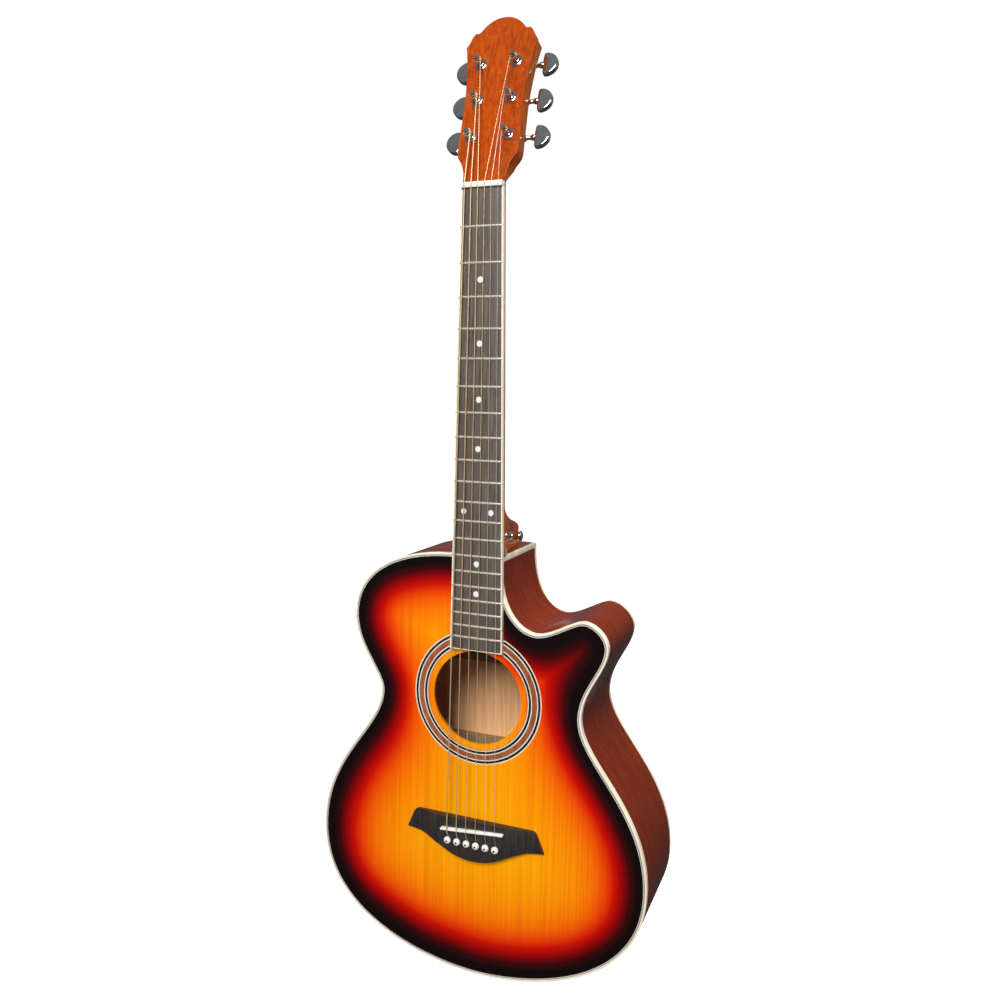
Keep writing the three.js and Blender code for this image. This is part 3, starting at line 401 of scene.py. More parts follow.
def shade(piece, angle=35):
    only(piece)
    bpy.ops.object.shade_smooth_by_angle(angle=math.radians(angle))
    return piece


def flatten_shading(piece, angle=30):
    """Smooth shading in which each large face keeps its own flat light."""
    return finish_with(shade(piece, angle), "WEIGHTED_NORMAL", keep_sharp=True, weight=100)


def carve(piece, *cutters, operation="DIFFERENCE"):
    """Cuts a piece with others, which are used up."""
    for cutter in cutters:
        finish_with(piece, "BOOLEAN", object=cutter, operation=operation, solver="EXACT")
        bpy.data.objects.remove(cutter)
    return piece


def join(name, pieces):
    only(*pieces)
    if len(pieces) > 1:
        bpy.ops.object.join()
    pieces[0].name = pieces[0].data.name = name
    return pieces[0]


def copy_of(piece, name, matrix=None):
    twin = piece.copy()
    twin.data = piece.data.copy()
    twin.name = twin.data.name = name
    bpy.context.collection.objects.link(twin)
    if matrix is not None:
        set_in_place(twin, matrix)
    return twin


def set_in_place(piece, matrix):
    """Moves the mesh itself, and turns it the right way out if the matrix mirrors it."""
    piece.data.transform(matrix)
    if matrix.determinant() < 0:
        piece.data.flip_normals()
    piece.data.update()
    return piece


def saw_out(name, outline, front, back, put=place):
    """Saws a piece out of a board along an outline, between two depths."""
    piece = start(bpy.ops.mesh.primitive_circle_add, name, vertices=len(outline), fill_type="NGON")
    for vertex, (x, station) in zip(piece.data.vertices, outline):
        vertex.co = put(x, front, station)
    step = put(0, back, 0) - put(0, front, 0)
    return shape(piece, push(*step), face_outwards)


def net(name, across, down, rule):
    """A grid whose every point (u, v), each from 0 to 1, goes where the rule puts it."""
    piece = start(bpy.ops.mesh.primitive_grid_add, name, size=2,
                  x_subdivisions=across, y_subdivisions=down)
    for vertex in piece.data.vertices:
        vertex.co = rule((vertex.co.x + 1) / 2, (1 - vertex.co.y) / 2)
    return piece


def bend_strip(name, edge, front_of, back_of, thickness, rows=2, closed=True):
    """Bends a strip round an edge line and gives it its thickness, inwards."""
    steps = len(edge) - 1

    def along(u, v):
        x, station = edge[round(u * steps)]
        front, back = front_of(x, station), back_of(x, station)
        return place(x, front + (back - front) * v, station)

    strip = net(name, steps, rows, along)
    if closed:
        shape(strip, weld)
    finish_with(strip, "SOLIDIFY", thickness=thickness * MM, offset=-1, use_even_offset=True)
    return shade(strip)


def flat_ring(name, outer, inner, front, back):
    """A closed flat ring between two outlines with the same number of points, ends repeated."""
    steps = len(outer) - 1

    def along(u, v):
        x, station = (outer if v < 0.5 else inner)[round(u * steps)]
        return place(x, front, station)

    ring = net(name, steps, 1, along)
    return shape(ring, weld, push(0, (back - front) * MM, 0), face_outwards)


def cut_plate(name, outline, front, thickness, cell, rule=None):
    """Cuts a plate with an even mesh along an outline, then bends it by a rule of x and station."""
    xs = [x for x, _ in outline]
    stations = [station for _, station in outline]
    wide, long = max(xs) - min(xs) + 2 * cell, max(stations) - min(stations) + 2 * cell
    mid_x, mid_station = (max(xs) + min(xs)) / 2, (max(stations) + min(stations)) / 2
    plate = net(name, round(wide / cell), round(long / cell), lambda u, v: place(
        mid_x + (2 * u - 1) * wide / 2, front, mid_station - (1 - 2 * v) * long / 2))
    shape(plate, push(0, thickness * MM, 0), face_outwards)
    carve(plate, saw_out("saw", outline, front - 5, front + thickness + 5), operation="INTERSECT")
    if rule:
        for vertex in plate.data.vertices:
            vertex.co.y += rule(vertex.co.x / MM, (NUT - vertex.co.z) / MM) * MM
    return plate


def turn(name, profile, steps=32):
    """Turns a profile of (radius, height) on a lathe; the axis is Z. Millimetres."""
    piece = start(bpy.ops.mesh.primitive_plane_add, name, size=0.001)

    def draw_profile():
        bpy.ops.mesh.merge(type="CENTER")
        bpy.ops.transform.translate(value=(profile[0][0] * MM, 0, profile[0][1] * MM))
        for a, b in zip(profile, profile[1:]):
            push((b[0] - a[0]) * MM, 0, (b[1] - a[1]) * MM)()

    def spin():
        bpy.ops.mesh.spin(steps=steps, angle=2 * math.pi, center=(0, 0, 0), axis=(0, 0, 1))

    return shade(shape(piece, draw_profile, spin, weld, face_outwards), 40)


def block(name, size, centre, bevel=0.0, segments=3):
    """A block with rounded edges, in millimetres, about a centre."""
    piece = start(bpy.ops.mesh.primitive_cube_add, name, size=1)
    for vertex in piece.data.vertices:
        vertex.co = Vector([(c + v * s) * MM for c, v, s in zip(centre, vertex.co, size)])
    return round_edges(piece, bevel, segments) if bevel else piece


def refined(node, bevel, name=None, angle=30):
    """A copy of a CAD node with clean faces and rounded edges."""
    piece = copy_of(frame["nodes"][node], name or node + "_finished")
    piece.parent = None
    shape(piece, weld, lambda: bpy.ops.mesh.dissolve_limited(angle_limit=math.radians(1)))
    if bevel:
        round_edges(piece, bevel, 3, angle)
    return shade(piece)


def fit(piece, body, finish, slot, *nodes):
    """Gives a piece its finish and its body, and hides the CAD nodes that it stands for. The slot is not
    used.
    """
    piece.data.materials.clear()
    piece.data.materials.append(finish)
    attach(piece, body)
    if nodes:
        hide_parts(*nodes)
    return piece


# ---------- Finishes ----------
def add_node(tree, kind, links=(), **settings):
    """Adds a shader node, gives its inputs and settings their values, and links its inputs."""
    node = tree.nodes.new("ShaderNode" + kind)
    for key, value in settings.items():
        if key in node.inputs:
            node.inputs[key].default_value = value
        else:
            setattr(node, key, value)
    for socket, source in links:
        tree.links.new(source, node.inputs[socket])
    return node


def color_ramp(tree, factor, stops):
    """A ramp through stops of (position, colour or grey)."""
    node = add_node(tree, "ValToRGB", [("Fac", factor)])
    elements = node.color_ramp.elements
    while len(elements) < len(stops):
        elements.new(0.5)
    for element, (position, color) in zip(elements, stops):
        element.position = position
        element.color = (*color, 1) if isinstance(color, tuple) else (color, color, color, 1)
    return node.outputs["Color"]


class Finish:
    """A material being mixed: its node tree, its shader and short ways to add nodes."""

    def __init__(self, name, color=(0.8, 0.8, 0.8), roughness=0.4, metallic=0.0, coat=0.0,
                 specular=0.5):
        self.material = bpy.data.materials.new(name)
        self.material.use_nodes = True
        self.tree = self.material.node_tree
        self.shader = self.tree.nodes["Principled BSDF"]
        self.set("Base Color", (*color, 1))
        self.set("Roughness", roughness)
        self.set("Metallic", metallic)
        self.set("Coat Weight", coat)
        self.set("Coat Roughness", 0.04)
        self.set("Specular IOR Level", specular)

    def set(self, socket, value):
        self.shader.inputs[socket].default_value = value

    def add(self, kind, links=(), **settings):
        return add_node(self.tree, kind, links, **settings)

    def coordinates(self, scale, source="Object"):
        base = self.add("TexCoord").outputs[source]
        return self.add("Mapping", [("Vector", base)], Scale=scale).outputs[0]

    def noise(self, vector, scale=1.0, detail=4.0, roughness=0.6, distortion=0.0):
        return self.add("TexNoise", [("Vector", vector)], Scale=scale, Detail=detail,
                        Roughness=roughness, Distortion=distortion).outputs["Fac"]

    def ramp(self, factor, stops):
        return color_ramp(self.tree, factor, stops)

    def mix(self, a, b, factor, blend="MIX"):
        node = self.add("Mix", data_type="RGBA", blend_type=blend)
        for socket, value in (("A", a), ("B", b), ("Factor", factor)):
            entry = [i for i in node.inputs if i.name == socket and i.enabled][0]
            if hasattr(value, "is_linked"):
                self.tree.links.new(value, entry)
            else:
                entry.default_value = (*value, 1) if isinstance(value, tuple) else value
        return [o for o in node.outputs if o.enabled][0]

    def color(self, source):
        self.tree.links.new(source, self.shader.inputs["Base Color"])
        return self

    def roughness(self, factor, low, high):
        span = self.add("MapRange", [("Value", factor)], **{"To Min": low, "To Max": high})
        self.tree.links.new(span.outputs[0], self.shader.inputs["Roughness"])
        return self

    def bump(self, height, distance, strength=0.5):
        node = self.add("Bump", [("Height", height)], Distance=distance, Strength=strength)
        self.tree.links.new(node.outputs[0], self.shader.inputs["Normal"])
        return self


def sunburst_spruce():
    """Straight spruce grain under an amber, red and black burst. The burst follows the plate's edge."""
    mix = Finish("sunburst_spruce", roughness=0.16, specular=0.28)
    fine = mix.noise(mix.coordinates((1150, 40, 4)), 1, 2, 0.5)
    wide = mix.noise(mix.coordinates((260, 30, 1.2)), 1, 3, 0.55)
    cloud = mix.noise(mix.coordinates((14, 14, 5)), 1, 2, 0.5)
    rings = mix.ramp(fine, [(0.36, (0.80, 0.58, 0.30)), (0.54, (1, 1, 1))])
    bands = mix.ramp(wide, [(0.35, (0.93, 0.80, 0.60)), (0.62, (1, 1, 1))])
    edge = mix.add("Attribute", attribute_name="edge").outputs["Fac"]
    wander = mix.add("Math", [(0, cloud)], operation="MULTIPLY_ADD")
    wander.inputs[1].default_value = BURST_WANDER
    wander.inputs[2].default_value = -BURST_WANDER / 2
    depth = mix.add("Math", [(0, edge), (1, wander.outputs[0])], operation="ADD").outputs[0]
    burst = mix.ramp(depth, [
        (0.0, (0.005, 0.003, 0.003)), (0.08, (0.007, 0.003, 0.003)), (0.13, (0.045, 0.002, 0.003)),
        (0.165, (0.16, 0.001, 0.002)), (0.205, (0.34, 0.001, 0.001)), (0.25, (0.54, 0.005, 0)),
        (0.295, (0.70, 0.032, 0)), (0.35, (0.81, 0.085, 0)), (0.42, (0.88, 0.155, 0)),
        (0.52, (0.93, 0.24, 0)), (0.65, (0.95, 0.31, 0)), (0.885, (0.96, 0.385, 0)),
        (1.0, (0.98, 0.43, 0)),
    ])
    grain = mix.mix(rings, bands, 1.0, "MULTIPLY")
    shown = mix.add("MapRange", [("Value", depth)], clamp=True,
                    **{"From Min": 0.2, "From Max": 0.5, "To Min": 0.08, "To Max": 0.62})
    mix.color(mix.mix(burst, grain, shown.outputs[0], "MULTIPLY"))
    mix.roughness(wide, 0.12, 0.2)
    mix.bump(fine, 0.00001, 0.08)
    return mix.material


def lacquered(name, dark, middle, light, grain, across, source="Object", flecks=0.5):
    """Lacquered open-pored wood: the two scales stretch the grain along one direction."""
    mix = Finish(name, roughness=0.16)
    lines = mix.noise(mix.coordinates(grain, source), 1, 5, 0.62, 0.3)
    pores = mix.noise(mix.coordinates(across, source), 1, 2, 0.7)
    shade_of = mix.noise(mix.coordinates(tuple(s * 0.12 for s in grain), source), 1, 2, 0.5)
    wood = mix.ramp(lines, [(0.25, dark), (0.5, middle), (0.78, light)])
    cloud = mix.ramp(shade_of, [(0.3, 0.62), (0.7, 1.0)])
    pits = mix.ramp(pores, [(0.34, 0.38), (0.47, 1.0)])
    deep = mix.mix(wood, cloud, 0.7, "MULTIPLY")
    mix.color(mix.mix(deep, pits, flecks, "MULTIPLY"))
    mix.roughness(pores, 0.1, 0.2)
    mix.bump(pores, 0.00002, 0.06)
    return mix.material


def bare_wood(name, dark, light, grain, roughness=0.75):
    mix = Finish(name, roughness=roughness, specular=0.3)
    lines = mix.noise(mix.coordinates(grain), 1, 5, 0.6, 0.4)
    mix.color(mix.ramp(lines, [(0.3, dark), (0.7, light)]))
    mix.roughness(lines, roughness - 0.1, roughness + 0.1)
    mix.bump(lines, 0.0001, 0.3)
    return mix.material


def dark_board(name, dark, light, grain, roughness):
    """Oiled rosewood or ebony with fine pores and paler streaks."""
    mix = Finish(name, roughness=roughness)
    streaks = mix.noise(mix.coordinates(grain), 1, 6, 0.68, 0.2)
    pores = mix.noise(mix.coordinates(tuple(s * 3.2 for s in grain)), 1, 2, 0.6)
    wood = mix.ramp(streaks, [(0.28, dark), (0.72, light)])
    mix.color(mix.mix(wood, mix.ramp(pores, [(0.36, 0.45), (0.5, 1.0)]), 0.7, "MULTIPLY"))
    mix.roughness(pores, roughness - 0.08, roughness + 0.12)
    mix.bump(pores, 0.00006, 0.4)
    return mix.material


def polished_plastic(name, base, tint, roughness=0.25, scale=60):
    mix = Finish(name, roughness=roughness, coat=0.4)
    cloud = mix.noise(mix.coordinates((scale, scale, scale * 0.4)), 1, 3, 0.5)
    mix.color(mix.ramp(cloud, [(0.3, tint), (0.7, base)]))
    mix.roughness(cloud, roughness * 0.8, roughness * 1.3)
    return mix.material


def bright_metal(name, base, tint, low, high, scale=(160, 160, 160), shine=1.0):
    mix = Finish(name, metallic=shine)
    smear = mix.noise(mix.coordinates(scale), 1, 4, 0.6)
    mix.color(mix.ramp(smear, [(0.3, tint), (0.7, base)]))
    mix.roughness(smear, low, high)
    mix.bump(smear, 0.00001, 0.05)
    return mix.material


def wound_wire(name, base, shadow, pitch):
    """Wire wound round a core: fine ridges follow each other along the string."""
    mix = Finish(name, metallic=0.55, roughness=0.35)
    ridges = mix.add("TexWave", [("Vector", mix.coordinates((1, 1, 1), "UV"))],
                     wave_type="BANDS", bands_direction="X", wave_profile="SIN", Scale=pitch)
    tarnish = mix.noise(mix.coordinates((40, 40, 40)), 1, 3, 0.6)
    mix.color(mix.mix(mix.ramp(ridges.outputs["Fac"], [(0.1, shadow), (0.6, base)]),
                      mix.ramp(tarnish, [(0.3, 0.75), (0.7, 1.0)]), 0.6, "MULTIPLY"))
    mix.roughness(tarnish, 0.28, 0.42)
    mix.bump(ridges.outputs["Fac"], 0.00008, 0.7)
    return mix.material


SPRUCE = sunburst_spruce()
SIDE_WOOD = lacquered("mahogany_sides", (0.045, 0.003, 0.0), (0.19, 0.015, 0.0), (0.46, 0.072, 0.001),
                      (22, 260, 1), (160, 1100, 1), "UV")
BACK_WOOD = lacquered("mahogany_back", (0.07, 0.008, 0.001), (0.21, 0.024, 0.002), (0.38, 0.062, 0.005),
                      (260, 200, 6), (1400, 1400, 60))
NECK_WOOD = lacquered("mahogany_neck", (0.26, 0.035, 0.002), (0.46, 0.095, 0.005), (0.66, 0.20, 0.012),
                      (300, 260, 9), (1500, 1500, 70), flecks=0.4)
HEAD_WOOD = lacquered("mahogany_head", (0.25, 0.028, 0.0), (0.42, 0.055, 0.0), (0.56, 0.10, 0.001),
                      (340, 340, 14), (1700, 1700, 110), flecks=0.45)
BOARD_WOOD = dark_board("rosewood_board", (0.045, 0.032, 0.026), (0.165, 0.125, 0.100),
                        (420, 420, 12), 0.5)
BRIDGE_WOOD = dark_board("bridge_rosewood", (0.012, 0.009, 0.009), (0.050, 0.040, 0.038),
                         (600, 600, 24), 0.42)
ROSETTE_WOOD = lacquered("rosette_wood", (0.18, 0.045, 0.018), (0.36, 0.11, 0.045), (0.48, 0.17, 0.08),
                         (200, 200, 40), (1500, 1500, 200), flecks=0.4)
CREAM = polished_plastic("cream_binding", (0.88, 0.82, 0.66), (0.80, 0.71, 0.52))
IVORY_LINE = polished_plastic("pale_line", (0.80, 0.76, 0.64), (0.68, 0.62, 0.50))
GREY_LINE = polished_plastic("grey_line", (0.27, 0.27, 0.28), (0.20, 0.20, 0.21))
BLACK_LINE = polished_plastic("black_line", (0.012, 0.011, 0.012), (0.02, 0.018, 0.018))
BONE = polished_plastic("bone", (0.90, 0.88, 0.82), (0.82, 0.78, 0.68), 0.3, 300)
PEARL = polished_plastic("pearl_dot", (0.86, 0.88, 0.88), (0.66, 0.72, 0.74), 0.2, 500)
# Inside the body: bare mahogany for the back's inner face and the bridge plate, lighter than the wood's
# own colour, painted light for the light falling in through the soundhole.
INSIDE_MAHOGANY_PAINTED_LIGHT = bare_wood("bare_mahogany_painted_light", (0.80, 0.38, 0.15), (1.0, 0.64, 0.33), (240, 200, 8))
# Bare spruce for the linings, blocks and braces, darker than the wood's own colour, painted shade for
# the dark inside of the body.
INSIDE_SPRUCE_PAINTED_SHADE = bare_wood("bare_spruce_painted_shade", (0.26, 0.16, 0.08), (0.38, 0.26, 0.15), (500, 200, 12))
CHROME = bright_metal("chrome", (0.78, 0.79, 0.81), (0.66, 0.67, 0.69), 0.05, 0.14)
FRET_METAL = bright_metal("nickel_silver", (0.80, 0.76, 0.62), (0.66, 0.62, 0.50), 0.2, 0.34,
                          (900, 900, 900), 0.5)
BRONZE = wound_wire("bronze_wound", (0.95, 0.74, 0.44), (0.62, 0.42, 0.20), 1200)
STEEL = bright_metal("plain_steel", (0.80, 0.78, 0.74), (0.66, 0.64, 0.60), 0.22, 0.36,
                     (60, 60, 900), 0.5)
BRASS = bright_metal("rod_brass", (0.52, 0.36, 0.13), (0.40, 0.27, 0.10), 0.25, 0.42, (400, 400, 400))
ROD_STEEL = bright_metal("rod_steel", (0.42, 0.43, 0.45), (0.34, 0.34, 0.36), 0.3, 0.45, (400, 400, 80))


# ---------- Body ----------
def burst_width(x, station):
    """How wide the burst is at a point: narrow at the waist, wide at the horn and the tail."""
    below = station - JOIN
    width = BURST_AT_SHOULDERS + sum(gain * smooth_step(below, *reach) for gain, *reach in BURST_GAINS)
    width -= BURST_WAIST_PINCH * math.exp(-((below - WAIST_AT) / BURST_WAIST_SPREAD) ** 2)
    horn = math.exp(-((below - BURST_HORN_AT) / BURST_HORN_SPREAD) ** 2)
    horn *= smooth_step(x, *BURST_HORN_FROM_X)
    return width * (1 - BURST_LEAN * math.tanh(x / BURST_LEAN_X)) + BURST_HORN_GAIN * horn


def make_soundboard():
    purfling_width = sum(width for _, width in PURFLING)
    outline = without_doubles(inset(BODY_EDGE, SIDE_THICKNESS + purfling_width)[:-1])
    top = cut_plate("soundboard_top", outline, 0, TOP_THICKNESS, 4)
    deep = TOP_THICKNESS + 4
    seat = saw_out("seat", rim(ROSETTE_RINGS[0][0]), -4, ROSETTE_DEPTH)
    lip = saw_out("lip", rim(ROSETTE_RINGS[-1][1]), -5, ROSETTE_DEPTH + 1)
    carve(top, carve(seat, lip))
    carve(top, saw_out("soundhole", rim(SOUNDHOLE_RADIUS), -4, deep))
    for number in STRING_RADII:
        hole = ring_points(string_x(number, PIN_SPACING), PIN_STATION, PIN_HOLE_RADIUS + 1, 16)
        carve(top, saw_out("pin_hole", hole, -4, deep))
    tree = tree_of(evenly(BODY_EDGE, len(BODY_EDGE) * 4))
    field = top.data.attributes.new("edge", "FLOAT", "POINT")
    for vertex, entry in zip(top.data.vertices, field.data):
        x, station = vertex.co.x / MM, (NUT - vertex.co.z) / MM
        distance = tree.find((x, station, 0))[2]
        entry.value = distance / burst_width(x, station) / BURST_REACH
    shade(top, 20)
    fit(top, BODY, SPRUCE, "spruce_top", "soundboard")


def make_rosette():
    finishes = {"pale": IVORY_LINE, "black": BLACK_LINE, "brown": ROSETTE_WOOD}
    for number, (outer, inner, color) in enumerate(ROSETTE_RINGS, 1):
        outside, inside = rim(outer), rim(inner)
        ring = flat_ring(f"rosette_ring_{number}", outside + outside[:1], inside + inside[:1],
                         -0.02, ROSETTE_DEPTH - 0.05)
        fit(ring, BODY, finishes[color], "rosette_wood", "rosette")


def make_bindings():
    front = bend_strip("front_binding_strip", BODY_EDGE, lambda x, s: 0, lambda x, s: BINDING_HEIGHT,
                       SIDE_THICKNESS)
    round_edges(front, 0.5, 3, 60)
    fit(shade(front), BODY, CREAM, "cream_binding", "front_binding")
    back = bend_strip("back_binding_strip", BODY_EDGE, lambda x, s: back_depth(x, s) - BINDING_HEIGHT,
                      back_depth, SIDE_THICKNESS)
    round_edges(back, 0.6, 3, 60)
    fit(shade(back), BODY, CREAM, "cream_binding", "back_binding")
    finishes = {"grey": GREY_LINE, "white": IVORY_LINE, "black": BLACK_LINE}
    distance = SIDE_THICKNESS
    for color, width in PURFLING:
        ring = flat_ring(f"purfling_{color}", inset(BODY_EDGE, distance),
                         inset(BODY_EDGE, distance + width), -0.01, 1.5)
        fit(ring, BODY, finishes[color], "cream_binding")
        distance += width
    corner = block("corner_strip", (SIDE_THICKNESS, 1, BINDING_HEIGHT), (0, 0, 0))
    for vertex in corner.data.vertices:
        x = CUTAWAY_CORNER_X - SIDE_THICKNESS / 2 + vertex.co.x / MM
        station = JOIN + BINDING_HEIGHT / 2 - vertex.co.z / MM
        depth = BINDING_HEIGHT if vertex.co.y < 0 else back_depth(x, station) - BINDING_HEIGHT
        vertex.co = place(x, depth, station)
    fit(shade(round_edges(corner, 0.4)), BODY, CREAM, "cream_binding", "cutaway_corner_binding")


def make_sides():
    behind = BINDING_HEIGHT + GAP
    front = lambda x, s: behind
    back = lambda x, s: back_depth(x, s) - behind
    shy_of_corner = CUTAWAY_CORNER_X - SIDE_THICKNESS - GAP
    bass_line = [(min(x, shy_of_corner), s) for x, s in BASS_EDGE]
    bass = bend_strip("bass_side_wood", bass_line, front, back, SIDE_THICKNESS, 6, closed=False)
    fit(bass, BODY, SIDE_WOOD, "mahogany", "bass_side")
    treble_line = [(max(x, GAP), s) for x, s in TREBLE_EDGE if s > JOIN + BINDING_HEIGHT + 0.4]
    treble_line.append((CUTAWAY_CORNER_X, JOIN + behind))
    treble = bend_strip("treble_side_wood", treble_line, front, back, SIDE_THICKNESS, 6, closed=False)
    fit(treble, BODY, SIDE_WOOD, "mahogany", "treble_side")


def make_back():
    outline = without_doubles(inset(BODY_EDGE, SIDE_THICKNESS)[:-1])
    plate = cut_plate("back_wood", outline, 0, BACK_THICKNESS, 7,
                      lambda x, s: back_depth(x, s) - BACK_THICKNESS)
    shade(plate, 30)
    fit(plate, BODY, BACK_WOOD, "mahogany", "back_plate")
    # The back's inner face gets the bare mahogany brightened with painted light.
    plate.data.materials.append(INSIDE_MAHOGANY_PAINTED_LIGHT)
    for face in plate.data.polygons:
        if face.normal.y < -0.5:
            face.material_index = 1


# ---------- Neck and headstock ----------
def neck_row(station):
    """The neck's front, back, turn into the heel and half width at a station."""
    rise = max(-station - NUT_THICKNESS, 0) * math.tan(HEAD_TILT)
    front = rise + HEAD_FACE_Y + VENEER_THICKNESS + HEAD_LAP if station < -NUT_THICKNESS else 0
    heel_start = JOIN - HEEL_LENGTH
    heel = smooth_step(station, heel_start, JOIN - HEEL_CAP_LENGTH)
    shaft = NECK_THICKNESS + NECK_SWELL * smooth_step(station, 0, heel_start)
    back = shaft + max(-station, 0) * NECK_BACK_SLOPE + (HEEL_DEPTH - shaft) * heel ** 1.5
    return front, back, heel, board_half(max(station, 0))


def neck_half(back, heel, half, share):
    """Half the neck's width at a share of its depth: round behind the shaft, pinched at the heel."""
    pinch = math.exp(-((share * back / HEEL_PINCH_DEPTH) ** 2))
    waist = HEEL_HALF_WIDTH + (half - HEEL_HALF_WIDTH) * pinch
    across = math.sqrt(max(1 - share ** (2 + 6 * heel), 0))
    return (half + (waist - half) * heel) * across


def make_neck():
    around = 48
    shaft_rows = [-20 + i * 4 for i in range(6)] + [2 + i * 15 for i in range(20)]
    heel_start = JOIN - HEEL_LENGTH - 4
    rows = [s for s in shaft_rows if s < heel_start]
    rows += [heel_start + (JOIN - 0.2 - heel_start) * i / 30 for i in range(31)]

    def skin(share_round, share_down):
        station = rows[round(share_down * (len(rows) - 1))]
        front, back, heel, half = neck_row(station)
        turned = math.pi * share_round
        deep = math.sin(turned) ** (1 - 0.35 * heel) if 0 < share_round < 1 else 0.0
        side = -math.copysign(1, math.cos(turned)) if abs(math.cos(turned)) > 1e-6 else 0
        return place(side * neck_half(back, heel, half, deep), front + (back - front) * deep, station)

    def close_up():
        bpy.ops.mesh.select_all(action="DESELECT")
        bpy.ops.mesh.select_non_manifold()
        bpy.ops.mesh.edge_face_add()

    return shape(net("neck_wood", around, len(rows) - 1, skin), close_up, face_outwards)


def head_outline():
    """The headstock's edge as (x, height above the nut), from the right throat round the crest."""
    half = NUT_WIDTH / 2
    right = [
        *curve((half, 0), (half, 12), (half + 3, 20), (half + 7.5, 25), 10),
        *curve((half + 7.5, 25), (half + 9.5, 28), (half + 10.4, 31), (half + 10.2, 36), 6),
        *curve((half + 10.2, 36), (half + 9.9, 51), (half + 9.6, 67), (half + 9.3, 82), 6),
        *curve((half + 9.3, 82), (half + 9.8, 105), (half + 12, 128), (half + 15.8, 145), 12),
        *curve((half + 15.8, 145), (half + 13.7, 147), (half + 12.1, 150), (half + 11, 154), 8),
        *curve((half + 11, 154), (half + 9.9, 156.4), (half + 8.4, 158.3), (half + 6.5, 159.6), 6),
        *curve((half + 6.5, 159.6), (half + 5.1, 158.5), (half + 3.6, 158.7), (half + 2, 160), 6),
        *curve((half + 2, 160), (half - 5, 169.6), (half - 13, 173.4), (0, 173.4), 22),
    ]
    left = [(-x, height) for x, height in reversed(right)]
    return right + [(0, 173.4)] + left


def in_head(x, y, height):
    return HEAD @ Vector((x * MM, y * MM, height * MM))


def post_places():
    """Where each tuner's post stands on the headstock's face, as (string number, x, height)."""
    back_to_head = HEAD.inverted()
    for number in range(6, 0, -1):
        foot = back_to_head @ Vector(JOINTS[f"post_{number}_turn"]["pos_m"])
        yield number, foot.x / MM, foot.z / MM


def cut_throat(core, side):
    """Slopes the plank's back corner off towards the nut, so it runs into the round neck."""
    half = NUT_WIDTH / 2
    low = Vector((side * half, THROAT_FRONT, 0))
    along = (Vector((side * half * 0.5, HEAD_THICKNESS + 1, 0)) - low).normalized()
    high = Vector((side * (half + THROAT_SPREAD), HEAD_THICKNESS, THROAT_HEIGHT))
    out = along.cross(high - low).normalized() * side
    turned = Matrix((along, out.cross(along), out)).transposed().to_4x4()
    cutter = block("throat_cutter", (CUTTER_SIZE,) * 3, (0, 0, CUTTER_SIZE / 2))
    set_in_place(cutter, HEAD @ Matrix.Translation(low * MM) @ turned)
    carve(core, cutter)


def make_head(neck):
    edge = head_outline()
    core = saw_out("head_core", edge, VENEER_THICKNESS, HEAD_THICKNESS, in_head)
    round_edges(core, 1.6, 4, 50)
    cut_throat(core, -1)
    cut_throat(core, 1)
    carve(neck, core, operation="UNION")
    low = -NUT_THICKNESS - 0.2
    seat = block("nut_seat", (CUTTER_SIZE, 34, 45), (0, 0, 0))
    set_in_place(seat, Matrix.Translation(place(0, -17, low + 22.5)))
    carve(neck, seat)
    veneer = saw_out("head_veneer", edge, 0, VENEER_THICKNESS, in_head)
    room = block("nut_room", (CUTTER_SIZE, 44, 40), (0, 0, 0))
    set_in_place(room, Matrix.Translation(place(0, 0, low + 20)))
    carve(veneer, room)
    for number, x, height in post_places():
        hole = ring_points(x, height, SLEEVE_HOLE_RADIUS, 24)
        carve(veneer, saw_out("post_hole", hole, -4, 4, in_head))
        carve(neck, saw_out("post_hole", hole, -4, HEAD_THICKNESS + 4, in_head))
    round_edges(veneer, 0.5, 3, 50)
    fit(flatten_shading(neck), BODY, NECK_WOOD, "neck_mahogany", "neck")
    fit(flatten_shading(veneer), BODY, HEAD_WOOD, "head_face", "headstock_veneer")


# ---------- Fingerboard ----------
def crown(x, half):
    return BOARD_EDGE_THICKNESS + (BOARD_THICKNESS - BOARD_EDGE_THICKNESS) * (1 - (x / half) ** 2)


def make_fingerboard():
    rows, across = 40, 14
    inside = BOARD_BINDING + 0.05

    def face(u, v):
        station = v * (BOARD_LENGTH - inside)
        half = board_half(station) - inside
        x = (2 * u - 1) * half
        return place(x, -crown(x, half), station)

    board = net("fingerboard_wood", across, rows, face)
    shape(board, push(0, 0.002, 0), face_outwards)
    for vertex in list(board.data.vertices)[(rows + 1) * (across + 1):]:
        vertex.co.y = FACE
    fit(shade(board, 30), BODY, BOARD_WOOD, "rosewood", "fingerboard")
    fit(refined("fingerboard_binding", 0.35), BODY, CREAM, "cream_binding", "fingerboard_binding")
    make_frets()
    make_position_dots()


def make_frets():
    """One fret is drawn, and copies of it are fitted to the board's width at each place."""
    pattern = start(bpy.ops.mesh.primitive_circle_add, "fret", vertices=14, radius=1, fill_type="NGON",
                    rotation=(0, math.pi / 2, 0))
    bpy.ops.object.transform_apply(rotation=True)
    for vertex in pattern.data.vertices:
        vertex.co.x = -1
    shape(pattern, lambda: [push(2 / 12, 0, 0)() for _ in range(12)], face_outwards)
    frets = []
    for number in range(1, FRETS + 1):
        station = fret_station(number)
        half = board_half(station) - 0.15
        fret = copy_of(pattern, f"fret_{number}")
        for vertex in fret.data.vertices:
            x = vertex.co.x * half
            end = 1 - 0.35 * smooth_step(abs(vertex.co.x), 0.985, 1.0)
            height = vertex.co.y * FRET_HEIGHT * end
            vertex.co = place(x, -crown(x, half) + height * (1 if height < 0 else 0.3),
                              station - vertex.co.z * FRET_HALF_WIDTH * end)
        frets.append(fret)
    bpy.data.objects.remove(pattern)
    fit(shade(join("frets", frets), 50), BODY, FRET_METAL, "plain_steel")


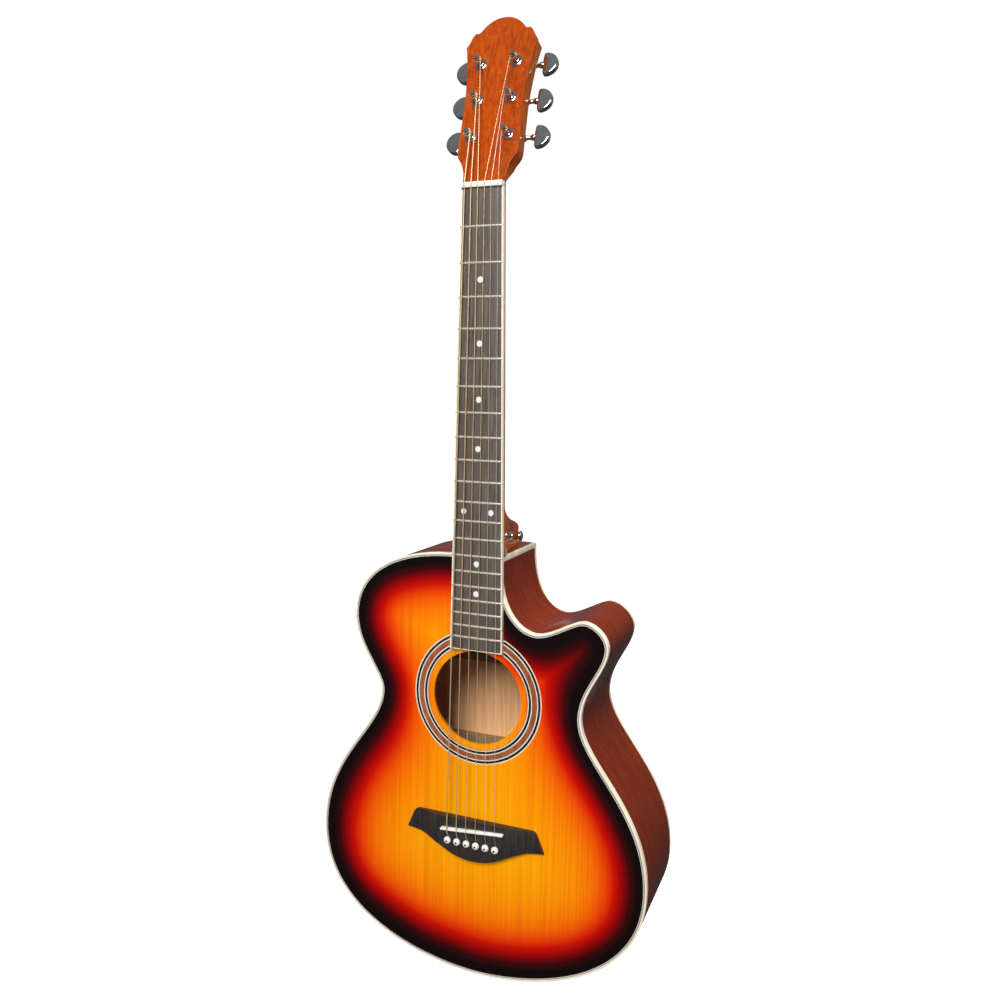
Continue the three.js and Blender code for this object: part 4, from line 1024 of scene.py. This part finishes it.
def make_position_dots():
    dot = turn("position_dot", [(0, -1), (3.0, -1), (3.0, 0.02), (2.4, 0.14), (0, 0.2)], 28)
    face_front = Matrix.Rotation(math.pi / 2, 4, "X")
    dots = []
    for fret in (3, 5, 7, 9, 12, 15, 17):
        station = (fret_station(fret - 1) + fret_station(fret)) / 2
        half = board_half(station)
        for x in ([-0.55 * half, 0.55 * half] if fret == 12 else [0]):
            spot = Matrix.Translation(place(x, -crown(x, half), station)) @ face_front
            dots.append(copy_of(dot, f"dot_{fret}", spot))
    bpy.data.objects.remove(dot)
    fit(join("position_dots", dots), BODY, PEARL, "bone_white")


# ---------- Bridge ----------
def string_x(number, spacing):
    return (3.5 - number) * spacing


def saddle_station(x):
    return SADDLE_STATION - math.tan(SADDLE_SLANT) * x


def saddle_top(x):
    return SADDLE_TOP - SADDLE_FALL * x / (SADDLE_LENGTH / 2)


def bridge_outline():
    top_at = SADDLE_STATION - BRIDGE_AHEAD_OF_SADDLE
    tip_at, belly_at = top_at + BRIDGE_TIP_DROP, top_at + BRIDGE_BELLY_DROP
    tip = BRIDGE_TIP_HALF
    right = [
        *curve((BRIDGE_TOP_HALF - 6, top_at), (BRIDGE_TOP_HALF - 2, top_at),
               (BRIDGE_TOP_HALF, top_at + 1), (BRIDGE_TOP_HALF + 2, top_at + 5), 6),
        *curve((tip, tip_at), (0.7 * tip, tip_at + 1),
               (0.53 * tip, tip_at + 9), (0.42 * tip, tip_at + 13.5), 18),
        *curve((0.42 * tip, tip_at + 13.5), (0.27 * tip, belly_at - 2),
               (0.14 * tip, belly_at), (0, belly_at), 14),
    ]
    left = [(-x, station) for x, station in reversed(right)]
    return right + [(0, belly_at)] + left


def wing_profile():
    """The bridge's height along its width: full in the middle, thinned to the wing tips."""
    reach = BRIDGE_TIP_HALF + WING_OVERHANG
    points = [(-reach, 0)]
    steps = 60
    for i in range(steps + 1):
        x = reach * (2 * i / steps - 1)
        fall = (BRIDGE_HEIGHT - WING_THICKNESS) * smooth_step(abs(x), WING_FALL_FROM, WING_FALL_TO)
        points.append((x, BRIDGE_HEIGHT - fall - WING_TIP_FALL * smooth_step(abs(x), 60, 80)))
    return points + [(reach, 0)]


def make_bridge():
    bridge = saw_out("bridge_wood", bridge_outline(), -BRIDGE_HEIGHT, 0)
    mid = SADDLE_STATION + 12
    arch = saw_out("arch", wing_profile(), -45, 45, lambda x, y, height: place(x, -height, mid + y))
    carve(bridge, arch, operation="INTERSECT")
    round_edges(bridge, 0.9, 3, 40)
    slot = block("saddle_slot", (SADDLE_LENGTH + 0.4, 6, SADDLE_THICKNESS + 0.4), (0, 0, 0), 1.4)
    set_in_place(slot, Matrix.Translation(place(0, -BRIDGE_HEIGHT + 1.4, SADDLE_STATION))
                 @ Matrix.Rotation(-SADDLE_SLANT, 4, "Y"))
    carve(bridge, slot)
    for number in STRING_RADII:
        x = string_x(number, PIN_SPACING)
        carve(bridge, saw_out("pin_hole", ring_points(x, PIN_STATION, PIN_HOLE_RADIUS, 24), -12, 4))
        half = STRING_RADII[number] + 0.4
        notch = block("string_notch", (2 * half, 24, 3), (0, 0, 0))
        set_in_place(notch, Matrix.Translation(place(x, -4, PIN_STATION - PIN_HOLE_RADIUS - half)))
        carve(bridge, notch)
    fit(shade(bridge, 30), BODY, BRIDGE_WOOD, "bridge_wood", "bridge")
    fit(refined("saddle", 1.1, angle=50), BODY, BONE, "bone_white", "saddle")
    fit(refined("nut", 0.5, angle=50), BODY, BONE, "bone_white", "nut")


def make_pins():
    profile = [(0, -14), (1.5, -14), (1.7, -13), (PIN_SHANK_RADIUS, -5), (PIN_SHANK_RADIUS, 8.5),
               (3.3, 9.1), (PIN_HEAD_RADIUS, 10.1), (PIN_HEAD_RADIUS, 10.7), (3.4, 11.9), (2.5, 12.7),
               (1.4, 13.1), (0, 13.2)]
    pattern = turn("bridge_pin", profile, 32)
    dot = turn("pin_dot", [(0, 12.6), (1.1, 12.6), (1.1, 13.4), (0.7, 13.56), (0, 13.58)], 20)
    for number in STRING_RADII:
        spot = (Matrix.Translation(place(string_x(number, PIN_SPACING), 0, PIN_STATION))
                @ Matrix.Rotation(math.pi / 2, 4, "X"))
        fit(copy_of(pattern, f"pin_{number}_turned", spot), f"pin_{number}", BONE, "bone_white",
            f"bridge_pin_{number}")
        fit(copy_of(dot, f"pin_{number}_dot", spot), f"pin_{number}", BLACK_LINE, "bone_white")
    bpy.data.objects.remove(pattern)
    bpy.data.objects.remove(dot)


# ---------- Tuners ----------
def make_tuners():
    """Each piece is made once at its post's foot, +X towards the button, then copied to six places."""
    out = Matrix.Rotation(math.pi / 2, 4, "X")
    bushing = turn("bushing", [(3.3, -1), (5.3, -1), (6.4, 0), (6.5, 0.3), (6.3, 0.9), (5.6, 1.3),
                               (5.0, 1.5), (4.9, 2.4), (4.4, 3.1), (3.6, 3.4), (3.3, 3.2),
                               (3.3, -1)], 40)
    post = turn("post", [(0, -20), (3, -20), (3, 3.4), (2.9, 4.2), (2.5, 5.0), (POST_WAIST_RADIUS, 6.0),
                         (POST_WAIST_RADIUS, 9.4), (2.45, 10.3), (2.75, 11.0), (2.8, 12.4), (2.6, 13.3),
                         (2.1, 13.9), (0, 14)], 32)
    eye = start(bpy.ops.mesh.primitive_cylinder_add, "string_eye", vertices=16, radius=0.7 * MM,
                depth=12 * MM, location=(0, 0, 7.8 * MM), rotation=(math.pi / 2, 0, 0))
    carve(post, eye)
    shade(post, 40)
    for piece in (bushing, post):
        set_in_place(piece, out)
    housing = make_housing()
    shaft, button = make_key()
    mirror = Matrix.Scale(-1, 4, (1, 0, 0))
    for number in range(6, 0, -1):
        turned = Matrix.Rotation(-HEAD_TILT, 4, "X")
        foot = Matrix.Translation(JOINTS[f"post_{number}_turn"]["pos_m"]) @ turned
        worm = Matrix.Translation(JOINTS[f"key_{number}_turn"]["pos_m"]) @ turned
        if JOINTS[f"post_{number}_turn"]["pos_m"][0] < 0:
            foot, worm = foot @ mirror, worm @ mirror
        for pattern, name, spot, body, *nodes in (
                (bushing, f"bushing_{number}", foot, BODY),
                (post, f"post_{number}_turned", foot, f"post_{number}", f"tuner_post_{number}"),
                (housing, f"case_{number}", foot, BODY, f"tuner_housing_{number}"),
                (shaft, f"shaft_{number}", worm, f"key_{number}", f"tuner_key_{number}"),
                (button, f"button_{number}", worm, f"key_{number}", f"tuner_key_{number}")):
            fit(copy_of(pattern, "tuner_" + name, spot), body, CHROME, "chrome", *nodes)
    for piece in (bushing, post, housing, shaft, button):
        bpy.data.objects.remove(piece)


def make_housing():
    """The sealed gear case behind the headstock, with its cap screw and its small fixing screw."""
    case = block("case", (15, 10.2, 20), (0, HEAD_THICKNESS + 0.2 + 5.1, 2.5), 2.6, 5)
    back = HEAD_THICKNESS + HOUSING_DEPTH
    inwards = Matrix.Rotation(-math.pi / 2, 4, "X")
    cap = turn("cap", [(0, -1), (5.6, -1), (5.6, -0.4), (5.2, -0.1), (0, 0)], 36)
    set_in_place(cap, Matrix.Translation((0, back * MM, 0)) @ inwards)
    screw = turn("cap_screw", [(0, -0.5), (1.7, -0.5), (1.6, 0.1), (1.1, 0.2), (0, 0.2)], 24)
    cross = block("cross", (2.2, 0.5, 1.2), (0, 0, 0.4))
    other = copy_of(cross, "cross_b", Matrix.Rotation(math.pi / 2, 4, "Z"))
    carve(screw, cross, other)
    fixing = copy_of(screw, "fixing_screw")
    set_in_place(screw, Matrix.Translation((0, back * MM, 0)) @ inwards)
    lug = block("lug", (7, 2.4, 5), (0, HEAD_THICKNESS + 1.4, -8.6), 0.9, 3)
    set_in_place(fixing, Matrix.Translation((0, (HEAD_THICKNESS + 2.6) * MM, -9.4 * MM)) @ inwards)
    return shade(join("housing", [case, cap, screw, lug, fixing]), 40)


def make_key():
    """The worm's shaft with its collar, and the half-moon button, about the worm's own axis."""
    reach = BUTTON_FROM_WORM
    along = Matrix.Rotation(math.pi / 2, 4, "Y")
    shaft = turn("shaft", [(0, -3.6), (1.7, -3.6), (1.7, 6.5), (3.2, 7.0), (3.4, 8.0), (3.4, 10),
                           (2.6, 10.6), (2.1, 11.2), (2.0, reach - 5), (2.6, reach - 4.4),
                           (3.0, reach - 3.6), (3.0, reach - 0.4), (2.4, reach + 0.8),
                           (0, reach + 1)], 28)
    set_in_place(shaft, along)
    moon = [
        *curve((0, -10.4), (3, -13.4), (14.5, -9.5), (14.5, 0), 18),
        *curve((14.5, 0), (14.5, 9.5), (3, 13.4), (0, 10.4), 18),
        *curve((0, 10.4), (-1.1, 3.5), (-1.1, -3.5), (0, -10.4), 8),
    ]
    button = saw_out("button", moon, -BUTTON_HALF_THICKNESS, BUTTON_HALF_THICKNESS,
                     lambda x, y, z: Vector(((x + reach) * MM, y * MM, z * MM)))
    round_edges(button, 2.2, 5, 60)
    return shaft, shade(button, 30)


# ---------- Strings ----------
def string_route(number):
    """A string from its ball end under the bridge, over saddle and nut, to its turns round the post."""
    radius = STRING_RADII[number]
    pin_x, nut_x = string_x(number, PIN_SPACING), string_x(number, NUT_STRING_SPACING)
    run = PIN_STATION - STRING_RUN
    crest = saddle_top(pin_x) + radius + 0.15
    at_saddle = saddle_station(pin_x)
    slide = lambda station: nut_x + (pin_x - nut_x) * station / run
    route = [(pin_x, BALL_DEPTH, run), (pin_x, 2, run), (pin_x, -5, run),
             (pin_x, -BRIDGE_HEIGHT - 0.1, run - 0.15), (pin_x, -BRIDGE_HEIGHT - 0.9, run - 0.7)]
    for d in (2.0, 1.2, 0.6, 0, -0.8, -2):
        dip = 0.1 * abs(d) ** 1.3 if d >= 0 else 0.01 * abs(d)
        route.append((slide(at_saddle + d), -crest + dip, at_saddle + d))
    middle = 12
    start_at, end_at = at_saddle - 4, 2
    for i in range(middle + 1):
        station = start_at + (end_at - start_at) * i / middle
        height = -crest + (crest - STRING_AT_NUT) * i / middle
        route.append((slide(station), height, station))
    route += [(nut_x, -STRING_AT_NUT, 0), (nut_x, -STRING_AT_NUT, -3),
              (nut_x, -STRING_AT_NUT + 0.15, -NUT_THICKNESS - 0.3)]
    points = [place(*point) for point in route]
    foot = Vector(JOINTS[f"post_{number}_turn"]["pos_m"])
    post = HEAD.inverted() @ foot / MM
    side = 1 if post.x > 0 else -1
    coil = POST_WAIST_RADIUS + WRAP_CLEARANCE + radius
    away = math.atan2(-post.z, nut_x - post.x)
    first = away - side * math.acos(coil / math.hypot(post.x - nut_x, post.z))
    per_turn, turns = 24, 3 if number > 3 else 4
    for i in range(turns * per_turn + 1):
        angle = first - side * 2 * math.pi * i / per_turn
        drop = (2 * radius + 0.03) * i / per_turn
        points.append(HEAD @ Vector(((post.x + coil * math.cos(angle)) * MM, (-9.9 + drop) * MM,
                                     (post.z + coil * math.sin(angle)) * MM)))
    return points


def draw_wire(name, points, radius):
    """A round wire along its route, closed at both ends, with u running along it."""
    data = bpy.data.curves.new(name, "CURVE")
    data.dimensions = "3D"
    data.bevel_depth = radius * MM
    data.bevel_resolution = 2
    data.use_fill_caps = True
    line = data.splines.new("POLY")
    line.points.add(len(points) - 1)
    for point, spot in zip(line.points, points):
        point.co = (*spot, 1)
    wire = bpy.data.objects.new(name, data)
    bpy.context.collection.objects.link(wire)
    only(wire)
    bpy.ops.object.convert(target="MESH")
    return shade(bpy.context.object, 60)


def make_strings():
    ball = turn("ball_end", [(1.0, -1.6), (1.9, -1.4), (2.0, 0), (1.9, 1.4), (1.0, 1.6),
                             (1.0, -1.6)], 20)
    for number, radius in STRING_RADII.items():
        points = string_route(number)
        wire = draw_wire(f"string_{number}_wire", points, radius)
        fit(wire, BODY, BRONZE if number > 2 else STEEL,
            "bronze_wound" if number > 2 else "plain_steel", f"string_{number}")
        low = points[0]
        across = (Matrix.Translation(low + Vector((0, 0.0014, 0.0)))
                  @ Matrix.Rotation(math.pi / 2, 4, "Y"))
        fit(copy_of(ball, f"string_{number}_ball", across), BODY, BRASS, "rod_brass")
    bpy.data.objects.remove(ball)


# ---------- Strap fittings ----------
def make_strap_fittings():
    low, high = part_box("end_pin")
    end_profile = [(0, 0), (4.4, 0), (5.2, 0.25), (6.4, 1.3), (6.6, 2.0), (6.5, 2.8), (5.6, 3.9),
                   (4.6, 4.8), (4.1, 6.5), (4.0, 8.6), (4.5, 10.2), (5.3, 11.4), (5.3, 11.9),
                   (4, 12), (3.4, 32), (0, 32)]
    pin = turn("end_pin_turned", end_profile, 40)
    set_in_place(pin, Matrix.Translation(((low.x + high.x) / 2, (low.y + high.y) / 2, 0)))
    fit(pin, BODY, CHROME, "chrome", "end_pin")
    low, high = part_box("strap_button")
    out_profile = [(0, 0), (5, 0), (5, 0.5), (4.2, 1.4), (3.4, 3), (3.2, 5.6), (3.3, 8.2), (4.4, 9.8),
                   (5.7, 10.8), (5.8, 11.6), (5.4, 12.3), (4.6, 12.8), (2.9, 13), (2.6, 12.4), (0, 12.4)]
    button = turn("strap_button_turned", out_profile, 40)
    screw = turn("strap_screw", [(0, 11.4), (2.4, 11.4), (2.3, 12.5), (1.6, 12.85), (0, 12.9)], 28)
    cross = block("cross", (3.2, 0.6, 1.6), (0, 0, 12.9))
    carve(screw, cross, copy_of(cross, "cross_b", Matrix.Rotation(math.pi / 2, 4, "Z")))
    aim = (Matrix.Translation((low.x, (low.y + high.y) / 2, (low.z + high.z) / 2))
           @ Matrix.Rotation(math.pi / 2, 4, "Y"))
    for piece in (button, screw):
        set_in_place(piece, aim)
    fit(button, BODY, CHROME, "chrome", "strap_button")
    fit(shade(screw, 30), BODY, ROD_STEEL, "rod_steel")


# ---------- Inside ----------
def dress_inside():
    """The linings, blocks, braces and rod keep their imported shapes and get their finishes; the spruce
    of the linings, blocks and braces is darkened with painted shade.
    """
    for node in ("front_lining", "back_lining", "neck_block", "tail_block", "x_brace_bass",
                 "x_brace_treble", "upper_brace", "back_brace_1", "back_brace_2", "back_brace_3"):
        set_finish(node, INSIDE_SPRUCE_PAINTED_SHADE)
    # The bridge plate gets the bare mahogany brightened with painted light.
    set_finish("bridge_plate", INSIDE_MAHOGANY_PAINTED_LIGHT)
    set_finish("truss_rod", ROD_STEEL)
    set_finish("truss_rod_nut", BRASS)


def set_finish(node, finish):
    piece = frame["nodes"][node]
    if not piece.material_slots:
        piece.data.materials.append(finish)
    for slot in piece.material_slots:
        slot.material = finish


# ---------- Studio ----------
# Each soft box: name, place, aim, width in metres, watts, and whether lacquer and chrome mirror it.
SOFT_BOXES = [
    ("key_light", (0.3, -2.7, 2.2), (0, 0, 0.4), 1.0, 114, True),
    ("top_light", (0.7, 0.5, 2.6), (0, 0, 0.45), 1.6, 56, False),
    ("side_light", (1.7, 1.0, 0.9), (0.1, 0, 0.3), 0.7, 3, True),
]
FLOOR_GLOW = 0.85
SOFT_AIR = 0.3
CAMERA_SPOT = (0.36575, -0.90309, 0.64042)
CAMERA_RIGHT = (0.92498, 0.37964, 0.01695)
CAMERA_UP = (-0.06316, 0.10960, 0.99197)
CAMERA_LENS = 33.2
CAMERA_SENSOR = 36


def make_studio():
    floor = start(bpy.ops.mesh.primitive_plane_add, "studio_floor", size=30)
    paper = Finish("studio_paper", (0.95, 0.95, 0.95), 0.9, specular=0.0)
    paper.set("Emission Color", (1, 1, 1, 1))
    paper.set("Emission Strength", FLOOR_GLOW)
    floor.data.materials.append(paper.material)
    floor.visible_glossy = False
    floor.visible_diffuse = False
    hang_backdrop()
    for light in SOFT_BOXES:
        soft_box(*light)


def hang_backdrop():
    """White paper all round; what the lacquer and the chrome mirror is a dimmer studio."""
    world = bpy.data.worlds.new("studio_air")
    bpy.context.scene.world = world
    world.use_nodes = True
    tree = world.node_tree
    tree.nodes.clear()

    path, where = add_node(tree, "LightPath").outputs, add_node(tree, "TexCoord").outputs
    split = add_node(tree, "SeparateXYZ", [(0, where["Generated"])])
    lift = add_node(tree, "Math", [(0, split.outputs["Z"])], operation="MULTIPLY_ADD")
    lift.inputs[1].default_value = lift.inputs[2].default_value = 0.5
    dim = color_ramp(tree, lift.outputs[0], [(0.3, (0.045, 0.045, 0.048)), (0.9, (0.19, 0.19, 0.195))])
    white = (1, 1, 1, 1)
    soft = add_node(tree, "Background", Color=white, Strength=SOFT_AIR).outputs[0]
    mirrored = add_node(tree, "Background", [("Color", dim)]).outputs[0]
    seen = add_node(tree, "Background", Color=white).outputs[0]
    first = add_node(tree, "MixShader", [(0, path["Is Glossy Ray"]), (1, soft), (2, mirrored)])
    second = add_node(tree, "MixShader", [(0, path["Is Camera Ray"]), (1, first.outputs[0]), (2, seen)])
    add_node(tree, "OutputWorld", [(0, second.outputs[0])])


def soft_box(name, spot, target, size, power, mirrored):
    data = bpy.data.lights.new(name, "AREA")
    data.shape = "RECTANGLE"
    data.size, data.size_y = size, size * 1.4
    data.energy = power
    lamp = bpy.data.objects.new(name, data)
    bpy.context.collection.objects.link(lamp)
    lamp.location = spot
    lamp.visible_glossy = mirrored
    lamp.rotation_euler = (Vector(target) - Vector(spot)).to_track_quat("-Z", "Y").to_euler()


def make_camera():
    data = bpy.data.cameras.new("studio_camera")
    data.lens, data.sensor_width = CAMERA_LENS, CAMERA_SENSOR
    data.clip_start, data.clip_end = 0.01, 50
    camera = bpy.data.objects.new("studio_camera", data)
    bpy.context.collection.objects.link(camera)
    right, up = Vector(CAMERA_RIGHT), Vector(CAMERA_UP)
    turned = Matrix((right, up, right.cross(up))).transposed().to_4x4()
    camera.matrix_world = Matrix.Translation(CAMERA_SPOT) @ turned
    bpy.context.scene.camera = camera


make_camera()
make_studio()
bpy.context.scene.view_settings.view_transform = "Standard"
make_soundboard()
make_rosette()
make_bindings()
make_sides()
make_back()
make_head(make_neck())
make_fingerboard()
make_bridge()
make_pins()
make_tuners()
make_strings()
make_strap_fittings()
dress_inside()
